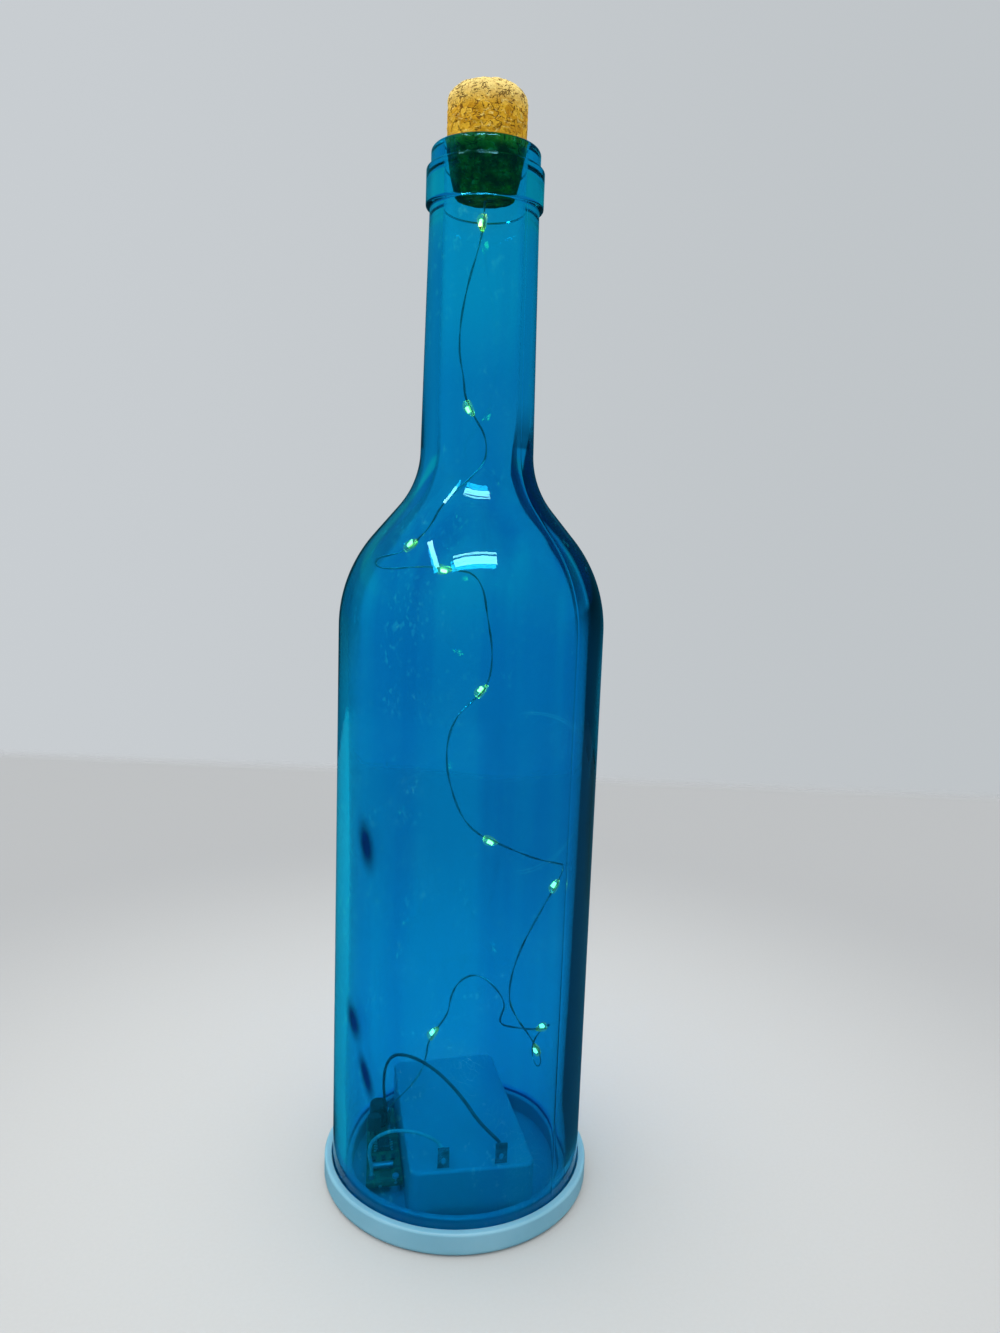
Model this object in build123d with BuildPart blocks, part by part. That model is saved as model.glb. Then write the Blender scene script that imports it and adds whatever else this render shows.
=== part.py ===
from build123d import *
import os
from math import atan2, cos, hypot, pi, radians, sin, sqrt, tan

# A cork bottle light: a wine bottle without its bottom, glued into a tray that carries two cells,
# a timer board and a string of drop LEDs which climbs to the cork.
# Millimetres, +Z up. The origin is on the table under the bottle's axis.
# The battery box lies along Y, with its solder tabs at the front, towards -Y.

os.makedirs("parts", exist_ok=True)

# Cells and their contacts
cell_radius = 7.25
cell_length = 50.5
nub_radius = 2.75
nub_height = 1.2
cell_edge_round = 0.6
cell_play = 0.35
plate_thickness = 0.4
plate_height = 10.0
plate_width = 9.0
spring_length = 4.3
spring_wire_radius = 0.35
spring_wide_radius = 4.2
spring_narrow_radius = 2.3
spring_turns = 3
spring_seat = 0.05
spring_samples = 24
tab_width = 3.2
tab_rise = 6.0
tab_hole_width = 1.2
tab_hole_length = 2.0
tab_hole_rise = 2.0
tab_slot_play = 0.2

# Battery box, moulded with the tray
box_wall = 1.6
box_top_wall = 1.6
box_corner_round = 3.0
box_top_round = 0.9
bay_corner_round = 1.0
rib_width = 0.8
rib_play = 0.4

# Tray
foot_height = 1.0
floor_thickness = 2.0
rim_height = 7.0
rim_thickness = 2.1
rim_top_round = 0.8
base_round = 1.6
spigot_wall = 1.8
spigot_rise = 5.2
spigot_round = 0.5
corner_margin = 1.12
glass_play = 0.3
bond_thickness = 0.5
foot_ring_inset = 0.6
thumb_notch_radius = 4.0
thumb_notch_depth = 1.0

# Battery door
door_thickness = 1.8
door_recess = 0.2
door_play = 0.3
tongue_width = 6.0
tongue_spacing = 18.0
tongue_reach = 1.1
tongue_thickness = 1.0
tongue_play = 0.2
window_rise = 1.5
latch_width = 9.0
latch_length = 8.0
latch_slit = 0.8
grip_count = 3
grip_pitch = 1.8
grip_width = 0.7
grip_depth = 0.4

# Bottle, measured over the glass
body_wall = 3.6
shoulder_low = 184.3
shoulder_high = 210.1
shoulder_round = 40.0
neck_round = 18.0
neck_top_radius = 15.0
neck_taper = 1.1
neck_wall = 3.75
collar_bottom = 283.1
collar_height = 10.4
collar_step = 1.0
collar_round = 0.9
lip_step = 1.2
lip_height = 5.2
lip_round = 1.5
mouth_round = 0.9
cut_edge_chamfer = 0.4

# Cork
cork_play = 0.3
cork_depth = 13.2
cork_stand = 15.6
cork_shoulder_depth = 8.2
cork_shoulder_taper = 1.25
cork_tip_taper = 2.75
cork_tip_round = 1.5
cork_top_round = 4.5
string_hole_play = 0.15
string_hole_depth = 4.0
string_end_depth = 2.4

# Board and its parts, placed from the board's right and front edges
board_gap = 0.5
board_width = 10.1
board_front = -14.0
board_length = 37.0
board_thickness = 1.6
peg_radius = 1.5
peg_tip_radius = 0.9
peg_tip_rise = 0.7
peg_play = 0.1
peg_inset_side = 2.0
peg_inset_end = 1.8
seat_play = 0.02
capacitor_radius = 3.15
capacitor_height = 7.6
capacitor_round = 0.6
capacitor_side = 5.9
capacitor_along = 28.5
chip_width = 3.9
chip_length = 4.9
chip_height = 1.5
chip_stand = 0.15
chip_side = 4.9
chip_along = 16.2
pin_count = 4
pin_pitch = 1.27
pin_width = 0.4
pin_thickness = 0.2
pin_reach = 1.0
transistor_radius = 2.3
transistor_flat = 1.2
transistor_height = 4.6
transistor_stand = 2.0
transistor_side = 7.6
transistor_along = 22.4
leg_radius = 0.22
leg_pitch = 1.27
crystal_radius = 1.05
crystal_length = 6.0
crystal_side = 5.4
crystal_along = 6.0
resistor_length = 2.0
resistor_width = 1.25
resistor_height = 0.5
resistor_pitch = 2.9
resistor_count = 3
resistor_side = 2.2
resistor_along = 10.6

# Slide switch between the tray floor and the board
switch_width = 3.8
switch_length = 9.0
switch_wall = 0.4
switch_side = 5.0
switch_along = 11.5
slider_width = 2.4
slider_length = 3.2
slider_height = 1.5
slider_play = 0.1
knob_width = 1.5
knob_length = 2.0
knob_clear_of_table = 0.3
switch_travel = 2.0

# Cords
wire_radius = 0.3
lead_radius = 0.5
bend_share = 0.45
solder_radius = 1.1
solder_rise = 0.9
solder_collar = 0.25
solder_play = 0.03
solder_below_tab_top = 1.2

# LED drops
drop_radius = 1.65
drop_length = 5.2
drop_end_radius = 0.7
drop_bore_play = 0.05
chip_die_length = 1.6
chip_die_width = 0.8
chip_die_height = 0.5
die_play = 0.03

# Heights and reaches that follow from the sizes above
floor_top = foot_height + floor_thickness
door_bottom = foot_height + door_recess
door_top = door_bottom + door_thickness
cell_height = door_top + cell_play + cell_radius
bay_top = cell_height + cell_radius + cell_play
box_top = bay_top + box_top_wall
bay_width = 2 * (cell_radius + cell_play)
cell_side = (bay_width + rib_width) / 2
inside_width = 2 * bay_width + rib_width
inside_length = cell_length + spring_length + 2 * plate_thickness
box_width = inside_width + 2 * box_wall
box_length = inside_length + 2 * box_wall
plate_face = inside_length / 2 - plate_thickness

board_right = -(box_width / 2 + board_gap)
board_rear = board_front + board_length
front_peg = (board_right - peg_inset_side, board_front + peg_inset_end)
rear_peg = (board_right - peg_inset_side, board_rear - peg_inset_end)
capacitor_place = (board_right - capacitor_side, board_front + capacitor_along)

# The pocket inside the spigot is wide enough for the box's corners and for the board's rear parts
box_reach = hypot(box_width / 2 - box_corner_round, box_length / 2 - box_corner_round) + box_corner_round
spigot_inner = max(
    box_reach + corner_margin - spigot_wall,
    hypot(*capacitor_place) + capacitor_radius + board_gap,
    hypot(*rear_peg) + peg_radius + board_gap,
)
spigot_radius = spigot_inner + spigot_wall
glass_inner = spigot_radius + glass_play
body_radius = glass_inner + body_wall
rim_inner = body_radius + glass_play
tray_radius = rim_inner + rim_thickness
spigot_top = floor_top + spigot_rise
bottle_bottom = floor_top + bond_thickness

neck_foot_radius = neck_top_radius + neck_taper
neck_bore = neck_top_radius - neck_wall
collar_radius = neck_top_radius + collar_step
collar_top = collar_bottom + collar_height
lip_radius = collar_radius - lip_step
mouth_height = collar_top + lip_height
cork_bottom = mouth_height - cork_depth
cork_radius = neck_bore - cork_play
cork_shoulder_radius = cork_radius - cork_shoulder_taper
cork_tip_radius = cork_radius - cork_tip_taper

switch_top = floor_top + switch_wall + slider_height + slider_play + switch_wall
board_bottom = switch_top + seat_play
board_top = board_bottom + board_thickness


def on_board(side, along, height=0.0):
    return (board_right - side, board_front + along, board_top + height)


def bend_radii(points):
    radii = []
    for before, corner, after in zip(points, points[1:], points[2:]):
        arriving = Vector(*corner) - Vector(*before)
        leaving = Vector(*after) - Vector(*corner)
        half_turn = radians(arriving.get_angle(leaving)) / 2
        radii.append(bend_share * min(arriving.length, leaving.length) / tan(half_turn))
    return radii


def report_tube(name, solid, path, radius):
    share = solid.volume / (pi * radius**2 * path.length)
    print(f"{name}: length {path.length:.1f}, volume over section times length {share:.4f}")


# Routes of the cords, chosen by hand, from the board upwards
tab_solder_height = box_top + tab_rise - solder_below_tab_top
wire_points = [
    (-20.0, 11.6, board_top),
    (-20.0, 11.6, 11.6),
    (-20.4, 6.8, 17.8),
    (-17.6, 2.6, 23.4),
    (-13.4, 3.0, 27.4),
    (-10.2, 5.0, 30.6),
    (-8.6, 6.6, 34.8),
    (-8.2, 7.0, 39.0),
    (-4.6, 6.4, 44.4),
    (-2.4, 4.5, 49.4),
    (-2.2, 3.4, 54.8),
    (-0.6, 1.2, 60.6),
    (3.4, -1.7, 64.5),
    (7.2, -4.4, 64.0),
    (10.8, -7.0, 60.8),
    (12.4, -8.6, 57.2),
    (10.8, -8.9, 54.0),
    (11.2, -7.6, 50.6),
    (16.5, -5.0, 48.0),
    (22.8, -2.2, 45.3),
    (29.6, 0.8, 44.2),
    (32.0, 6.4, 42.0),
    (30.6, 11.8, 37.6),
    (28.0, 14.9, 31.8),
    (27.3, 13.4, 26.7),
    (28.6, 9.0, 25.4),
    (29.3, 6.0, 30.2),
    (24.0, 3.9, 39.2),
    (18.2, 1.0, 47.8),
    (14.9, -1.5, 55.5),
    (15.8, -1.9, 64.5),
    (19.4, -0.5, 73.0),
    (24.0, 1.7, 79.8),
    (27.8, 3.7, 85.6),
    (32.0, 4.6, 92.0),
    (32.6, 1.2, 96.4),
    (29.6, -2.8, 98.6),
    (23.0, -5.6, 100.9),
    (16.0, -7.7, 104.0),
    (9.4, -8.8, 107.3),
    (2.8, -8.6, 110.2),
    (-2.0, -8.9, 114.6),
    (-5.3, -8.2, 122.4),
    (-7.1, -6.9, 130.9),
    (-6.4, -5.0, 138.9),
    (-3.5, -3.4, 145.0),
    (1.0, -2.3, 148.9),
    (5.5, -1.0, 153.6),
    (6.6, 0.9, 162.6),
    (4.8, 2.2, 173.0),
    (3.7, 2.5, 180.6),
    (0.4, 1.0, 185.2),
    (-4.8, -0.2, 186.0),
    (-11.9, 0.1, 186.9),
    (-18.0, 3.9, 186.5),
    (-22.6, 8.0, 185.8),
    (-25.0, 10.9, 186.6),
    (-25.0, 10.6, 190.0),
    (-22.8, 7.0, 191.2),
    (-20.4, 4.8, 190.8),
    (-15.4, 2.4, 194.2),
    (-12.3, 1.2, 197.8),
    (-10.0, -0.2, 202.8),
    (-5.8, -1.0, 207.6),
    (-0.9, 0.2, 212.2),
    (3.2, 1.5, 217.4),
    (2.7, 1.7, 223.7),
    (-0.8, 1.2, 228.4),
    (-3.8, 0.7, 233.4),
    (-4.3, 0.7, 238.8),
    (-5.7, 2.0, 245.4),
    (-5.6, 2.1, 253.2),
    (-4.6, 0.8, 260.2),
    (-3.3, -0.4, 266.4),
    (-1.7, -0.7, 271.9),
    (-0.5, 0.1, 276.8),
    (0.0, 0.0, 282.4),
    (0.0, 0.0, cork_bottom + string_end_depth),
]
led_runs = [7, 19, 26, 33, 39, 46, 52, 59, 67, 75]
positive_points = [
    (-26.4, -11.4, board_top),
    (-26.4, -11.4, 11.0),
    (-27.4, -12.6, 15.6),
    (-26.6, -15.0, 21.6),
    (-22.2, -18.8, 26.6),
    (-16.6, -22.4, 28.4),
    (-11.6, -23.8, 27.2),
    (-cell_side, -24.4, tab_solder_height),
    (-cell_side, -plate_face, tab_solder_height),
]
negative_points = [
    (-21.2, 18.2, board_top),
    (-21.2, 18.2, 12.6),
    (-21.8, 18.0, 19.6),
    (-21.0, 16.8, 26.2),
    (-18.8, 14.4, 30.8),
    (-15.6, 10.6, 33.0),
    (-11.5, 5.6, 33.9),
    (-7.1, 0.0, 33.6),
    (-3.0, -6.1, 32.3),
    (0.6, -13.0, 30.2),
    (3.0, -19.0, 27.8),
    (6.0, -23.2, 26.0),
    (cell_side, -25.0, tab_solder_height),
    (cell_side, -plate_face, tab_solder_height),
]

# Bottle: outside and inside profiles turned about the axis, with the collar and lip of its finish
shoulder_turn = atan2(body_radius - neck_foot_radius, shoulder_high - shoulder_low)
inner_low = shoulder_low - body_wall * tan(shoulder_turn / 2)
inner_high = inner_low + (glass_inner - neck_bore) / tan(shoulder_turn)
with BuildPart() as bottle:
    with BuildSketch(Plane.XZ):
        with BuildLine():
            FilletPolyline(
                (body_radius, bottle_bottom),
                (body_radius, shoulder_low),
                (neck_foot_radius, shoulder_high),
                (neck_top_radius, collar_bottom),
                radius=[shoulder_round, neck_round],
            )
            Polyline(
                (neck_top_radius, collar_bottom),
                (collar_radius, collar_bottom),
                (collar_radius, collar_top),
                (lip_radius, collar_top),
                (lip_radius, mouth_height),
                (neck_bore, mouth_height),
            )
            FilletPolyline(
                (neck_bore, mouth_height),
                (neck_bore, inner_high),
                (glass_inner, inner_low),
                (glass_inner, bottle_bottom),
                radius=[neck_round + body_wall, shoulder_round - body_wall],
            )
            Line((glass_inner, bottle_bottom), (body_radius, bottle_bottom))
        make_face()
    revolve(axis=Axis.Z)
    rings = bottle.edges().filter_by(GeomType.CIRCLE)
    top_rings = rings.group_by(Axis.Z)[-1].sort_by(SortBy.RADIUS)
    bottom_rings = rings.group_by(Axis.Z)[0]
    fillet(top_rings[-1], radius=lip_round)
    fillet(top_rings[0], radius=mouth_round)
    chamfer(bottom_rings, length=cut_edge_chamfer)
    collar_rings = bottle.edges().filter_by(GeomType.CIRCLE).filter_by_position(
        Axis.Z, collar_bottom, collar_top
    )
    fillet(collar_rings.group_by(SortBy.RADIUS)[-1], radius=collar_round)
bottle.part.label = "bottle"
export_step(bottle.part, "parts/bottle.step")

# Cork: straight above the mouth, tapered below it, with a small blind hole for the end of the string
with BuildPart() as cork:
    with BuildSketch(Plane.XZ):
        with BuildLine():
            Polyline(
                (0, cork_bottom),
                (cork_tip_radius, cork_bottom),
                (cork_shoulder_radius, mouth_height - cork_shoulder_depth),
                (cork_radius, mouth_height),
                (cork_radius, mouth_height + cork_stand),
                (0, mouth_height + cork_stand),
                close=True,
            )
        make_face()
    revolve(axis=Axis.Z)
    cork_rings = cork.edges().filter_by(GeomType.CIRCLE).sort_by(Axis.Z)
    fillet(cork_rings[-1], radius=cork_top_round)
    fillet(cork_rings[0], radius=cork_tip_round)
    with Locations((0, 0, cork_bottom)):
        Cylinder(
            wire_radius + string_hole_play,
            string_hole_depth,
            align=(Align.CENTER, Align.CENTER, Align.MIN),
            mode=Mode.SUBTRACT,
        )
cork.part.label = "cork"
export_step(cork.part, "parts/cork.step")

# Tray: dish with a rim outside the glass and a spigot inside it, and the battery box in its middle
switch_place = (board_right - switch_side, board_front + switch_along)
with BuildPart() as base_tray:
    with BuildSketch(Plane.XZ):
        with BuildLine():
            Polyline(
                (0, foot_height),
                (spigot_radius - foot_ring_inset, foot_height),
                (spigot_radius - foot_ring_inset, 0),
                (tray_radius, 0),
                (tray_radius, rim_height),
                (rim_inner, rim_height),
                (rim_inner, floor_top),
                (spigot_radius, floor_top),
                (spigot_radius, spigot_top),
                (spigot_inner, spigot_top),
                (spigot_inner, floor_top),
                (0, floor_top),
                close=True,
            )
        make_face()
    revolve(axis=Axis.Z)
    tray_rings = base_tray.edges().filter_by(GeomType.CIRCLE)
    outer_rings = tray_rings.group_by(SortBy.RADIUS)[-1].sort_by(Axis.Z)
    spigot_rings = tray_rings.filter_by_position(Axis.Z, spigot_top - spigot_round, spigot_top + spigot_round)
    fillet(outer_rings[0], radius=base_round)
    fillet(outer_rings[-1], radius=rim_top_round)
    fillet(spigot_rings, radius=spigot_round)
    with BuildSketch(Plane.XY.offset(floor_top)):
        RectangleRounded(box_width, box_length, box_corner_round)
    extrude(amount=box_top - floor_top)
    fillet(base_tray.faces().sort_by(Axis.Z)[-1].edges(), radius=box_top_round)
    with BuildSketch(Plane.XY.offset(foot_height)):
        RectangleRounded(inside_width, inside_length, bay_corner_round)
    extrude(amount=bay_top - foot_height, mode=Mode.SUBTRACT)
    # Rib between the two cells
    with BuildSketch(Plane.XY.offset(bay_top)):
        Rectangle(rib_width, inside_length - 2 * (plate_thickness + rib_play))
    extrude(amount=cell_height - bay_top)
    # Slots in the top for the two solder tabs
    with BuildSketch(Plane.XY.offset(bay_top)):
        with Locations((-cell_side, -inside_length / 2), (cell_side, -inside_length / 2)):
            Rectangle(
                tab_width + 2 * tab_slot_play,
                plate_thickness + tab_slot_play,
                align=(Align.CENTER, Align.MIN),
            )
    extrude(amount=box_top_wall, mode=Mode.SUBTRACT)
    # Windows in the rear wall for the door's tongues
    with BuildSketch(Plane.XY.offset(door_top - tongue_thickness - 2 * tongue_play)):
        with Locations((-tongue_spacing / 2, inside_length / 2), (tongue_spacing / 2, inside_length / 2)):
            Rectangle(tongue_width + 2 * door_play, box_wall, align=(Align.CENTER, Align.MIN))
    extrude(amount=tongue_thickness + 2 * tongue_play + window_rise, mode=Mode.SUBTRACT)
    # Thumb notch in front of the door's latch
    with Locations((0, -inside_length / 2, foot_height)):
        Cylinder(
            thumb_notch_radius,
            thumb_notch_depth,
            align=(Align.CENTER, Align.CENTER, Align.MIN),
            mode=Mode.SUBTRACT,
        )
    # Slot for the switch knob, and the two pegs that the board is staked on
    with BuildSketch(Plane.XY.offset(foot_height)):
        with Locations(switch_place):
            Rectangle(knob_width + 2 * door_play, knob_length + 2 * (switch_travel + door_play))
    extrude(amount=floor_thickness, mode=Mode.SUBTRACT)
    with BuildSketch(Plane.XY.offset(floor_top)):
        with Locations(front_peg, rear_peg):
            Circle(peg_radius)
    extrude(amount=board_bottom - floor_top)
    with BuildSketch(Plane.XY.offset(board_bottom)):
        with Locations(front_peg, rear_peg):
            Circle(peg_tip_radius)
    extrude(amount=board_thickness + peg_tip_rise)
base_tray.part.label = "base_tray"
export_step(base_tray.part, "parts/base_tray.step")

# Bead of glue under the cut edge of the glass
with BuildPart() as adhesive_ring:
    with BuildSketch(Plane.XY.offset(floor_top)):
        Circle(body_radius)
        Circle(glass_inner, mode=Mode.SUBTRACT)
    extrude(amount=bond_thickness)
adhesive_ring.part.label = "adhesive_ring"
export_step(adhesive_ring.part, "parts/adhesive_ring.step")

# Battery door: swings down about its rear lower edge, where its tongues enter the tray's windows
door_width = inside_width - 2 * door_play
door_length = inside_length - 2 * door_play
with BuildPart() as battery_door:
    with BuildSketch(Plane.XY.offset(door_bottom)):
        RectangleRounded(door_width, door_length, bay_corner_round)
        with Locations((-latch_width / 2, -door_length / 2), (latch_width / 2, -door_length / 2)):
            Rectangle(latch_slit, latch_length, align=(Align.CENTER, Align.MIN), mode=Mode.SUBTRACT)
    extrude(amount=door_thickness)
    with BuildSketch(Plane.XY.offset(door_top - tongue_thickness - tongue_play)):
        with Locations((-tongue_spacing / 2, door_length / 2), (tongue_spacing / 2, door_length / 2)):
            Rectangle(tongue_width, 2 * (tongue_reach + door_play))
    extrude(amount=tongue_thickness)
    with BuildSketch(Plane.XY.offset(door_bottom)):
        with Locations((0, -door_length / 2 + latch_length / 2)):
            with GridLocations(0, grip_pitch, 1, grip_count):
                Rectangle(latch_width - 4 * latch_slit, grip_width)
    extrude(amount=grip_depth, mode=Mode.SUBTRACT)
battery_door.part.label = "battery_door"
export_step(battery_door.part, "parts/battery_door.step")

# Two cells the opposite way round: the left one has its nub at the front, the right one at the rear
for name, side, way in (("battery_left", -1, 1), ("battery_right", 1, -1)):
    nub_tip = (side * cell_side, -way * plate_face, cell_height)
    with BuildPart() as battery:
        with BuildSketch(Plane(nub_tip, x_dir=(0, way, 0), z_dir=(way, 0, 0))):
            with BuildLine():
                Polyline(
                    (0, 0),
                    (0, nub_radius),
                    (nub_height, nub_radius),
                    (nub_height, cell_radius),
                    (cell_length, cell_radius),
                    (cell_length, 0),
                    close=True,
                )
            make_face()
        revolve(axis=Axis(nub_tip, (0, way, 0)))
        can_rims = battery.edges().filter_by(GeomType.CIRCLE).group_by(SortBy.RADIUS)[-1]
        fillet(can_rims, radius=cell_edge_round)
    battery.part.label = name
    export_step(battery.part, f"parts/{name}.step")

# Front contact plates, each with a pierced solder tab that passes up through the box
plate_bottom = cell_height - plate_height / 2
for name, side in (("terminal_positive", -1), ("terminal_negative", 1)):
    with BuildPart() as terminal:
        with BuildSketch(Plane.XZ.offset(plate_face)):
            with Locations((side * cell_side, plate_bottom)):
                Rectangle(plate_width, plate_height, align=(Align.CENTER, Align.MIN))
                Rectangle(tab_width, box_top + tab_rise - plate_bottom, align=(Align.CENTER, Align.MIN))
            with Locations((side * cell_side, box_top + tab_hole_rise)):
                SlotOverall(tab_hole_length, tab_hole_width, rotation=90, mode=Mode.SUBTRACT)
        extrude(amount=plate_thickness)
    terminal.part.label = name
    export_step(terminal.part, f"parts/{name}.step")

# Rear plate that joins the two cells
with BuildPart() as link_plate:
    with BuildSketch(Plane.XZ.offset(-plate_face)):
        with Locations((0, plate_bottom)):
            Rectangle(2 * cell_side + plate_width, plate_height, align=(Align.CENTER, Align.MIN))
    extrude(amount=-plate_thickness)
link_plate.part.label = "link_plate"
export_step(link_plate.part, "parts/link_plate.step")


# Point and heading on a conical spring, after a number of turns from its wide end on the plate
def spring_point(turns_done, side, way):
    share = turns_done / spring_turns
    angle = 2 * pi * turns_done
    radius = spring_wide_radius + (spring_narrow_radius - spring_wide_radius) * share
    climb = spring_length - 2 * (spring_wire_radius + spring_seat)
    radius_rate = (spring_narrow_radius - spring_wide_radius) / (2 * pi * spring_turns)
    place = Vector(
        side * cell_side + radius * cos(angle),
        way * (plate_face - spring_wire_radius - spring_seat - climb * share),
        cell_height + radius * sin(angle),
    )
    heading = Vector(
        radius_rate * cos(angle) - radius * sin(angle),
        -way * climb / (2 * pi * spring_turns),
        radius_rate * sin(angle) + radius * cos(angle),
    )
    return place, heading.normalized()


# Conical springs on the two plates that meet a cell's flat end, each half turn a pair of tangent arcs
for name, side, way in (("spring_front", 1, -1), ("spring_rear", -1, 1)):
    with BuildPart() as spring:
        with BuildLine() as coil:
            for half_turn in range(2 * spring_turns):
                start, start_way = spring_point(half_turn / 2, side, way)
                end, end_way = spring_point((half_turn + 1) / 2, side, way)
                chord = end - start
                lean = chord.dot(start_way + end_way)
                spread = 2 * (1 - start_way.dot(end_way))
                reach = (sqrt(lean**2 + spread * chord.dot(chord)) - lean) / spread
                middle = (start + end + (start_way - end_way) * reach) * 0.5
                middle_way = (end - end_way * reach) - (start + start_way * reach)
                TangentArc(start, middle, tangent=start_way)
                TangentArc(middle, end, tangent=middle_way)
        coil_path = coil.wires()[0]
        with BuildSketch(Plane(coil_path @ 0, z_dir=coil_path % 0)):
            Circle(spring_wire_radius)
        sweep(path=coil_path)
    spring.part.label = name
    export_step(spring.part, f"parts/{name}.step")
    report_tube(name, spring.part, coil_path, spring_wire_radius)
    steps = [
        spring_point(step / spring_samples, side, way)[0]
        for step in range(spring_samples * spring_turns + 1)
    ]
    apart = spring_samples // 2
    nearest = min((a - b).length for i, a in enumerate(steps) for b in steps[i + apart :])
    print(f"{name}: least gap to itself {nearest - 2 * spring_wire_radius:.2f}")

# Board in the pocket left of the box, cut round where it follows the spigot
with BuildPart() as circuit_board:
    with BuildSketch(Plane.XY.offset(board_bottom)):
        with Locations((board_right, board_front)):
            Rectangle(board_width, board_length, align=(Align.MAX, Align.MIN))
        Circle(spigot_inner - board_gap, mode=Mode.INTERSECT)
        with Locations(front_peg, rear_peg):
            Circle(peg_tip_radius + peg_play, mode=Mode.SUBTRACT)
    extrude(amount=board_thickness)
circuit_board.part.label = "circuit_board"
export_step(circuit_board.part, "parts/circuit_board.step")

# Parts soldered on the board
with BuildPart() as capacitor:
    with Locations((*capacitor_place, board_top)):
        Cylinder(capacitor_radius, capacitor_height, align=(Align.CENTER, Align.CENTER, Align.MIN))
    fillet(capacitor.edges().filter_by(GeomType.CIRCLE), radius=capacitor_round)
capacitor.part.label = "capacitor"
export_step(capacitor.part, "parts/capacitor.step")

with BuildPart() as timer_chip:
    with Locations(on_board(chip_side, chip_along, chip_stand)):
        Box(chip_width, chip_length, chip_height, align=(Align.CENTER, Align.CENTER, Align.MIN))
    chamfer(timer_chip.faces().sort_by(Axis.Z)[-1].edges(), length=chip_stand)
timer_chip.part.label = "timer_chip"
export_step(timer_chip.part, "parts/timer_chip.step")

# Bent pins along both long sides of the chip
pin_drop = chip_stand + chip_height / 2
with BuildPart() as chip_pins:
    for side in (-1, 1):
        chip_wall = on_board(chip_side - side * chip_width / 2, chip_along)
        pin_plane = Plane(chip_wall, x_dir=(side, 0, 0), z_dir=(0, -side, 0))
        pin_rows = [(row - (pin_count - 1) / 2) * pin_pitch for row in range(pin_count)]
        with BuildSketch(*[pin_plane.offset(row) for row in pin_rows]):
            with BuildLine():
                Polyline(
                    (0, pin_drop),
                    (0, pin_drop - pin_thickness),
                    (pin_reach / 2 - pin_thickness, pin_drop - pin_thickness),
                    (pin_reach / 2 - pin_thickness, 0),
                    (pin_reach, 0),
                    (pin_reach, pin_thickness),
                    (pin_reach / 2, pin_thickness),
                    (pin_reach / 2, pin_drop),
                    close=True,
                )
            make_face()
        extrude(amount=pin_width / 2, both=True)
chip_pins.part.label = "chip_pins"
export_step(chip_pins.part, "parts/chip_pins.step")

# Three-legged transistor with a flat face
with BuildPart() as transistor:
    with BuildSketch(Plane(on_board(transistor_side, transistor_along, transistor_stand))):
        Circle(transistor_radius)
        with Locations((0, -transistor_radius)):
            Rectangle(
                2 * transistor_radius,
                transistor_radius - transistor_flat,
                align=(Align.CENTER, Align.MIN),
                mode=Mode.SUBTRACT,
            )
    extrude(amount=transistor_height)
    with BuildSketch(Plane(on_board(transistor_side, transistor_along))):
        with GridLocations(leg_pitch, 0, 3, 1):
            Circle(leg_radius)
    extrude(amount=transistor_stand)
transistor.part.label = "transistor"
export_step(transistor.part, "parts/transistor.step")

# Crystal can lying along X
with BuildPart() as crystal:
    with Locations(Location(on_board(crystal_side, crystal_along, crystal_radius + seat_play), (0, 90, 0))):
        Cylinder(crystal_radius, crystal_length)
    fillet(crystal.edges().filter_by(GeomType.CIRCLE), radius=pin_thickness)
crystal.part.label = "crystal"
export_step(crystal.part, "parts/crystal.step")

with BuildPart() as resistors:
    for row in range(resistor_count):
        with Locations(on_board(resistor_side + row * resistor_pitch, resistor_along)):
            Box(
                resistor_width,
                resistor_length,
                resistor_height,
                align=(Align.CENTER, Align.CENTER, Align.MIN),
            )
resistors.part.label = "resistors"
export_step(resistors.part, "parts/resistors.step")

# Switch frame on the tray floor: a hollow block whose lower lips hold the slider up
with BuildPart() as switch_body:
    with BuildSketch(Plane.XY.offset(floor_top)):
        with Locations(switch_place):
            Rectangle(switch_width, switch_length)
    extrude(amount=switch_top - floor_top)
    with BuildSketch(Plane.XY.offset(floor_top + switch_wall)):
        with Locations(switch_place):
            Rectangle(slider_width + 2 * slider_play, slider_length + 2 * (switch_travel + slider_play))
    extrude(amount=slider_height + slider_play, mode=Mode.SUBTRACT)
    with BuildSketch(Plane.XY.offset(floor_top)):
        with Locations(switch_place):
            Rectangle(knob_width + 2 * slider_play, knob_length + 2 * (switch_travel + slider_play))
    extrude(amount=switch_wall, mode=Mode.SUBTRACT)
switch_body.part.label = "switch_body"
export_step(switch_body.part, "parts/switch_body.step")

# Slider inside the frame, with its knob down through the tray floor
slider_bottom = floor_top + switch_wall + slider_play / 2
with BuildPart() as switch_slider:
    with BuildSketch(Plane.XY.offset(slider_bottom)):
        with Locations(switch_place):
            Rectangle(slider_width, slider_length)
    extrude(amount=slider_height)
    with BuildSketch(Plane.XY.offset(knob_clear_of_table)):
        with Locations(switch_place):
            Rectangle(knob_width, knob_length)
    extrude(amount=slider_bottom - knob_clear_of_table)
switch_slider.part.label = "switch_slider"
export_step(switch_slider.part, "parts/switch_slider.step")

# Insulated leads from the board to the solder tabs
for name, points in (("lead_positive", positive_points), ("lead_negative", negative_points)):
    with BuildPart() as lead:
        with BuildLine() as lead_path:
            FilletPolyline(*points, radius=bend_radii(points))
        lead_route = lead_path.wires()[0]
        with BuildSketch(Plane(lead_route @ 0, z_dir=lead_route % 0)):
            Circle(lead_radius)
        sweep(path=lead_route)
    lead.part.label = name
    export_step(lead.part, f"parts/{name}.step")
    report_tube(name, lead.part, lead_route, lead_radius)
    print(f"{name}: bend radii", [round(radius, 1) for radius in bend_radii(points)])

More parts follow.
